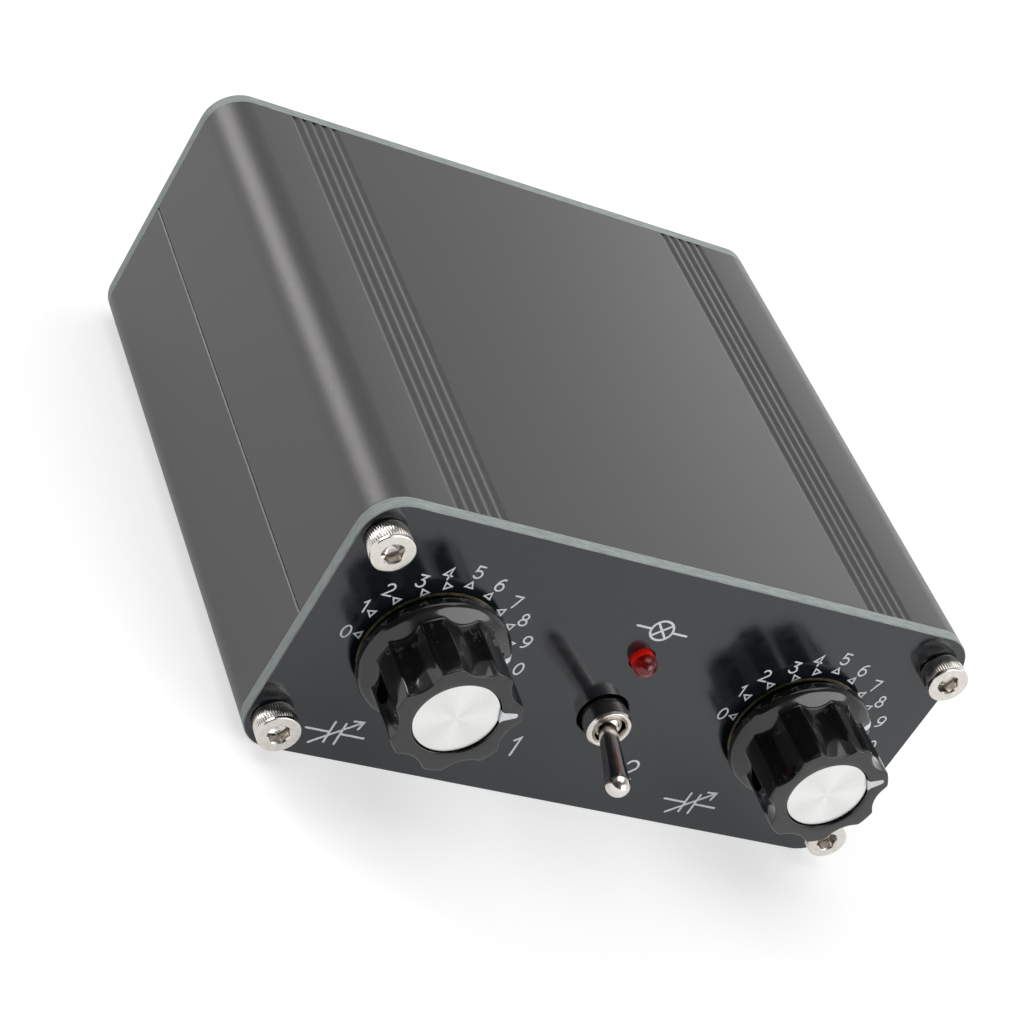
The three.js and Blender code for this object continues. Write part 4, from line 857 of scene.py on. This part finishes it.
# Toggle switch: a plated brass bushing with a fine thread stands through the panel, and a plated bat lever
# pivots on a ball inside it. Bracket, moulded body, rocking contact and terminals are behind the panel.
bushing_front, bushing_length, bushing_radius, bushing_bore, bushing_mouth = -44.5, 8.8, 2.9, 2.5, 2.0
bushing_lip, mouth_flare, bushing_chamfer, bushing_pitch, bushing_thread = 0.7, 0.3, 0.25, 0.5, 0.015
thread_shoulder, thread_runout = 0.05, 0.2
flange_radius, flange_thickness, flange_foot, bushing_ease = 3.4, 0.8, 0.1, 0.08
pivot_y, ball_radius, ball_pocket = -42.6, 2.15, 0.2
lever_length, lever_tilt, neck_radius, tip_radius, taper_curve = 13.48, 12.5, 1.15, 1.55, 0.9
tail_radius, tail_length, tail_point, tail_point_share = 0.7, 10.0, 0.2, 0.7


def bushing():
    """A sleeve: bored out behind, a narrower flared mouth in front, a thread outside, then a flange."""
    sides = 72
    back = bushing_front + bushing_length
    flange = back - flange_thickness
    thread_start = bushing_front + bushing_chamfer
    front, outer, mouth = bushing_front, bushing_radius, bushing_mouth
    inside = [(bushing_bore, back), (bushing_bore, pivot_y), (mouth, pivot_y - ball_radius + ball_pocket),
              (mouth, front + bushing_lip), (mouth + mouth_flare, front), (outer - bushing_chamfer, front),
              (outer - thread_shoulder, thread_start)]
    stretch = thread(outer, bushing_thread, bushing_pitch, thread_start + thread_shoulder,
                     flange - thread_runout, 8, sides)
    outside = [(outer - flange_foot, flange - flange_foot), (outer, flange), (flange_radius, flange),
               (flange_radius, back), (bushing_bore, back)]
    return around([*eased(inside, bushing_ease), *stretch, *eased(outside, bushing_ease)], sides)


def lever():
    """The bat: a round tip that tapers to the neck, the ball, and a thin tail, turned about its own axis
    with the tip towards -Y, then leant to the left about its pivot. The taper's radius falls with the
    distance from the tip to a power a little under one."""
    tip = arc(0, 0, tip_radius, 0, 84, 14)
    tip_line = np.column_stack([tip[:, 1], -(lever_length - tip_radius) - tip[:, 0]])
    start = math.degrees(math.asin(neck_radius / ball_radius))
    end = 180 - math.degrees(math.asin(tail_radius / ball_radius))
    ball = arc(0, 0, ball_radius, start, end, 22)
    taper = np.linspace(0, 1, 12)[1:-1]
    from_r, from_y = tip_line[-1]
    to_r, to_y = neck_radius, -ball_radius
    part = around(np.concatenate([
        tip_line,
        np.column_stack([from_r + (to_r - from_r) * taper**taper_curve, from_y + (to_y - from_y) * taper]),
        [(to_r, to_y)],
        np.column_stack([ball[:, 1], -ball[:, 0]]),
        [(tail_radius, tail_length - tail_radius),
         (tail_radius * tail_point_share, tail_length - tail_point), (0, tail_length)],
    ]), 64)
    return set_at(turned_about(part, 2, -lever_tilt), 0, pivot_y, switch_z)


chrome = grained("polished_plate", 900, (0.66, 0.62, 0.58), (0.76, 0.72, 0.68),
                 roughness=(0.13, 0.21), bump=0.0012, Metallic=1.0)
blue_moulding = grained("blue_switch_moulding", 700, (0.010, 0.035, 0.13), (0.018, 0.055, 0.18),
                        roughness=(0.35, 0.5), bump=0.006, IOR=1.5)
tinned = grained("tinned_wire", 1500, (0.50, 0.50, 0.49), (0.64, 0.64, 0.63),
                 roughness=(0.25, 0.4), bump=0.003, Metallic=1.0)
made("threaded_bushing", [set_at(bushing(), 0, 0, switch_z)], "case", nickel, ["switch_bushing"],
     sharp=40)
made("bat_lever", [lever()], "switch_lever_body", chrome, ["switch_lever"], sharp=50)
dress(nickel, "switch_bracket")
dress(blue_moulding, "switch_body")
dress(brass, "switch_rocker")
dress(tinned, "switch_terminal_left", "switch_terminal_middle", "switch_terminal_right")

# Lamp: a 3 mm light-emitting diode in clear red epoxy, with a round dome and a flange behind the panel. A
# dark red cup inside holds the chip; its dark colour is partly painted shade for the dome's dark middle. A
# bright orange sleeve round it has a painted glow, though the lamp is not lit: with its bright colour it
# stands in for the light that the dome gathers on its upper left. Two tinned leads run down to the board.
lamp_radius, lamp_tip, lamp_length = 1.5, -panel_face - 2.6, 5.3
lamp_flange_radius, lamp_flange_thickness, lens_ease, cup_ease, sleeve_ease = 1.9, 1.0, 0.08, 0.05, 0.04
cup_y, cup_radius, cup_floor, cup_rim, cup_depth, cup_plate = -panel_face - 0.7, 0.95, 0.4, 0.15, 0.55, 0.3
sleeve_radius, sleeve_front, sleeve_wall, sleeve_length = 1.41, -panel_face - 0.75, 0.12, 1.6


def lamp_lens():
    """A quarter circle for the dome, then a straight side, the flange and a flat back, turned about Y."""
    dome = arc(0, 0, lamp_radius, 0, 88, 16)
    dome_end, back = lamp_tip + lamp_radius, lamp_tip + lamp_length
    flange = back - lamp_flange_thickness
    side = eased([(lamp_radius, dome_end), (lamp_radius, flange), (lamp_flange_radius, flange),
                  (lamp_flange_radius, back), (0, back)], lens_ease)
    return around(np.concatenate([np.column_stack([dome[:, 1], dome_end - dome[:, 0]]), side]), 64)


def lamp_cup():
    """A shallow cone that opens towards the dome, with a rounded rim, on a wider plate."""
    back, outer, plate = cup_y + cup_depth, cup_radius + cup_rim, sleeve_radius - sleeve_wall
    return around(eased([(0, back), (cup_floor, back), (cup_radius, cup_y), (outer, cup_y), (outer, back),
                         (plate, back), (plate, back + cup_plate), (0, back + cup_plate)], cup_ease), 48)


def lamp_sleeve():
    """A thin tube round the cup, with rounded ends."""
    inner, back = sleeve_radius - sleeve_wall, sleeve_front + sleeve_length
    return around(eased([(inner, back), (inner, sleeve_front), (sleeve_radius, sleeve_front),
                         (sleeve_radius, back), (inner, back)], sleeve_ease), 48)


red_epoxy = grained("red_epoxy", 600, (0.95, 0.03, 0.025), (0.99, 0.045, 0.035),
                    roughness=(0.03, 0.07), bump=0.001, IOR=1.52, Transmission_Weight=1.0)
# The cup's dark colour is partly painted shade, for the dark middle of the dome.
cup_painted_shade = grained("red_cup_painted_shade", 900, (0.18, 0.02, 0.015), (0.30, 0.035, 0.03),
                    roughness=(0.3, 0.45), bump=0.002, IOR=1.45)
# The sleeve's bright colour and its emission are a painted glow; the lamp is not lit.
sleeve_painted_glow = grained("orange_sleeve_painted_glow", 900, (0.92, 0.40, 0.28), (0.98, 0.50, 0.36),
                       roughness=(0.4, 0.55), bump=0.002, IOR=1.45, Emission_Color=(1, 0.1, 0.05, 1),
                       Emission_Strength=0.1)
made("lamp_cup", [set_at(lamp_cup(), 0, 0, lamp_z)], "case", cup_painted_shade)
made("lamp_sleeve", [set_at(lamp_sleeve(), 0, 0, lamp_z)], "case", sleeve_painted_glow)
made("lamp_lens", [set_at(lamp_lens(), 0, 0, lamp_z)], "case", red_epoxy, ["lamp"])
dress(tinned, "lamp_lead_left", "lamp_lead_right")

# Coaxial sockets: on the rear panel two plated brass bayonet sockets with two lugs each, a white insulator
# and a gilt centre contact, drawn tight by a washer and a hexagon nut against a black housing inside.
shell_thread_radius, shell_thread_pitch, shell_thread = 6.2, 0.8, 0.22
shell_nose_radius, shell_mouth_radius, shell_tail_radius, shell_ease = 4.8, 4.05, 4.9, 0.1
shoulder_y, tail_y, thread_end, mouth_y, nose_chamfer = 40.0, 32.0, 45.7, 56.7, 0.3
shoulder_width, thread_lead, thread_chamfer, thread_ease = 0.3, 0.4, 0.35, 0.2
lug_radius, lug_foot, lug_tip, lug_y, lug_ease = 1.0, shell_mouth_radius + 0.2, 5.55, 52.3, 0.15
washer_radius, washer_thickness, nut_across, nut_thickness, nut_ease = 8.4, 0.6, 14.3, 2.2, 0.5
nut_hole, nut_flare, nut_corner_ease = shell_thread_radius + 0.3, 0.2, 0.05
nut_bevel, nut_cone_cut, nut_seat, washer_seat, washer_ease = 0.15, 0.25, 0.2, 0.1, 0.1
insulator_bore, insulator_radius, insulator_neck = 1.2, shell_mouth_radius - 0.3, 2.35
insulator_back, insulator_step, insulator_front, insulator_ease = 34.0, 47.5, 54.9, 0.12
contact_radius, contact_bore, contact_back, contact_floor, contact_front = 0.95, 0.6, 28.7, 49.5, 54.5
contact_ease, pin_radius, pin_y, pin_top, pin_end, pin_point = 0.08, 0.5, 29.2, 0.4, 12.9, 0.3


def socket_shell():
    """A tube with a tail, a threaded stretch and a smooth nose."""
    sides = 80
    crest, nose, mouth = shell_thread_radius, shell_nose_radius, shell_mouth_radius
    behind = [(mouth, tail_y), (shell_tail_radius, tail_y), (shell_tail_radius, shoulder_y),
              (crest, shoulder_y), (crest, shoulder_y + shoulder_width)]
    stretch = thread(crest, shell_thread, shell_thread_pitch, shoulder_y + thread_lead,
                     thread_end - thread_chamfer, 8, sides)
    before = [(crest - thread_ease, thread_end - thread_ease), (crest - thread_chamfer, thread_end),
              (nose, thread_end), (nose, mouth_y - nose_chamfer), (nose - nose_chamfer, mouth_y),
              (mouth, mouth_y), (mouth, tail_y)]
    return around([*eased(behind, shell_ease), *stretch, *eased(before, shell_ease)], sides)


def lug(side):
    """A short round peg out of the nose, with an eased end."""
    peg = eased([(0, lug_foot), (lug_radius, lug_foot), (lug_radius, lug_tip), (0, lug_tip)], lug_ease)
    return set_at(turned_about(around(peg, 32), 2, -90 * side), 0, lug_y, 0)


def nut():
    """A hexagon whose outer corners are cut back by a cone, with a round hole through it."""
    sides = 96
    start = panel_face + nut_seat + washer_thickness
    end = start + nut_thickness
    corner = nut_across / 2 / math.cos(math.pi / 6)
    flats = hexagon(angles(sides), nut_across, nut_corner_ease)
    rim = nut_hole + nut_bevel
    rows = [(rim, start), (flats, start)]
    for share in np.linspace(0, 1, 8):
        cone = corner - share * (corner - nut_across / 2 + nut_cone_cut)
        rows.append((np.minimum(flats, cone), end - nut_ease * (1 - share)))
    rows += [(nut_hole + nut_flare, end), (nut_hole, end - nut_flare), (nut_hole, start + nut_bevel),
             (rim, start)]
    return around(rows, sides)


def washer():
    """A flat ring with eased edges."""
    low = panel_face + washer_seat
    high = low + washer_thickness
    middle = (low + high) / 2
    return around(eased([(nut_hole, middle), (nut_hole, low), (washer_radius, low), (washer_radius, high),
                         (nut_hole, high), (nut_hole, middle)], washer_ease), 80)


def insulator():
    """A stepped sleeve: wide in the shell's tail, narrow where the plug's sleeve goes round it."""
    bore, radius, neck = insulator_bore, insulator_radius, insulator_neck
    back, step, front = insulator_back, insulator_step, insulator_front
    return around(eased([(bore, shoulder_y), (bore, back), (radius, back), (radius, step), (neck, step),
                         (neck, front), (bore, front), (bore, shoulder_y)], insulator_ease), 48)


def contact():
    """The centre contact's round barrel with its bored, eased mouth, and the pin that drops to the board."""
    radius, bore, back, front = contact_radius, contact_bore, contact_back, contact_front
    barrel = around(eased([(0, back), (radius, back), (radius, front), (bore, front), (bore, contact_floor),
                           (0, contact_floor)], contact_ease), 32)
    pin = around([(0, pin_top), (pin_radius, pin_top), (pin_radius, pin_end - pin_point), (0, pin_end)], 20)
    return [barrel, set_at(turned_about(pin, 0, -90), 0, pin_y, 0)]


white_plastic = grained("white_insulator", 800, (0.78, 0.78, 0.76), (0.86, 0.86, 0.84),
                        roughness=(0.35, 0.5), bump=0.004, IOR=1.35)
gilt = grained("gilt_contact", 1500, (0.76, 0.53, 0.20), (0.88, 0.64, 0.27),
               roughness=(0.16, 0.28), bump=0.002, Metallic=1.0)
black_moulding = grained("black_housing", 900, (0.010, 0.010, 0.011), (0.018, 0.018, 0.019),
                         roughness=(0.4, 0.55), bump=0.008, IOR=1.5)
for side, x in (("left", -socket_x), ("right", socket_x)):
    for name, parts, material, slot in (
        ("shell", [socket_shell(), lug(1), lug(-1)], nickel, "nickel"),
        ("insulator", [insulator()], white_plastic, "white_plastic"),
        ("contact", contact(), gilt, "gold"),
        ("washer", [washer()], nickel, "nickel"),
        ("nut", [nut()], nickel, "nickel"),
    ):
        node = f"{side}_socket_{name}"
        made(f"{node}_turned", [set_at(part, x, 0, axis_z) for part in parts], "case", material, [node],
             sharp=36)
    dress(black_moulding, f"{side}_socket_housing")

# Board, coils and resistors: a green laminate board in the case's slots carries a red iron powder ring with
# enamelled copper windings, a small ferrite ring and three lacquered resistors. The case closes them in.
green_board = grained("green_board", 260, (0.010, 0.085, 0.030), (0.018, 0.125, 0.045),
                      roughness=(0.25, 0.4), bump=0.004, IOR=1.5)
iron_powder = grained("red_iron_powder", 900, (0.30, 0.018, 0.010), (0.42, 0.030, 0.018),
                      roughness=(0.45, 0.65), bump=0.02, IOR=1.5)
ferrite = grained("grey_ferrite", 1500, (0.028, 0.028, 0.033), (0.048, 0.048, 0.055),
                  roughness=(0.5, 0.65), bump=0.01, IOR=1.5)
copper = grained("enamelled_copper", 700, (0.48, 0.16, 0.06), (0.62, 0.24, 0.09),
                 roughness=(0.2, 0.32), bump=0.003, Metallic=1.0, Coat_Weight=0.6, Coat_Roughness=0.1)
lacquer = grained("resistor_lacquer", 900, (0.22, 0.31, 0.34), (0.30, 0.40, 0.43),
                  roughness=(0.45, 0.6), bump=0.01, IOR=1.5)
dress(green_board, "main_board")
dress(iron_powder, "coil_core")
dress(ferrite, "bridge_core")
dress(copper, "coil_main_winding", "coil_link_winding", "bridge_winding")
dress(lacquer, "bridge_resistor_1", "bridge_resistor_2", "bridge_resistor_3")
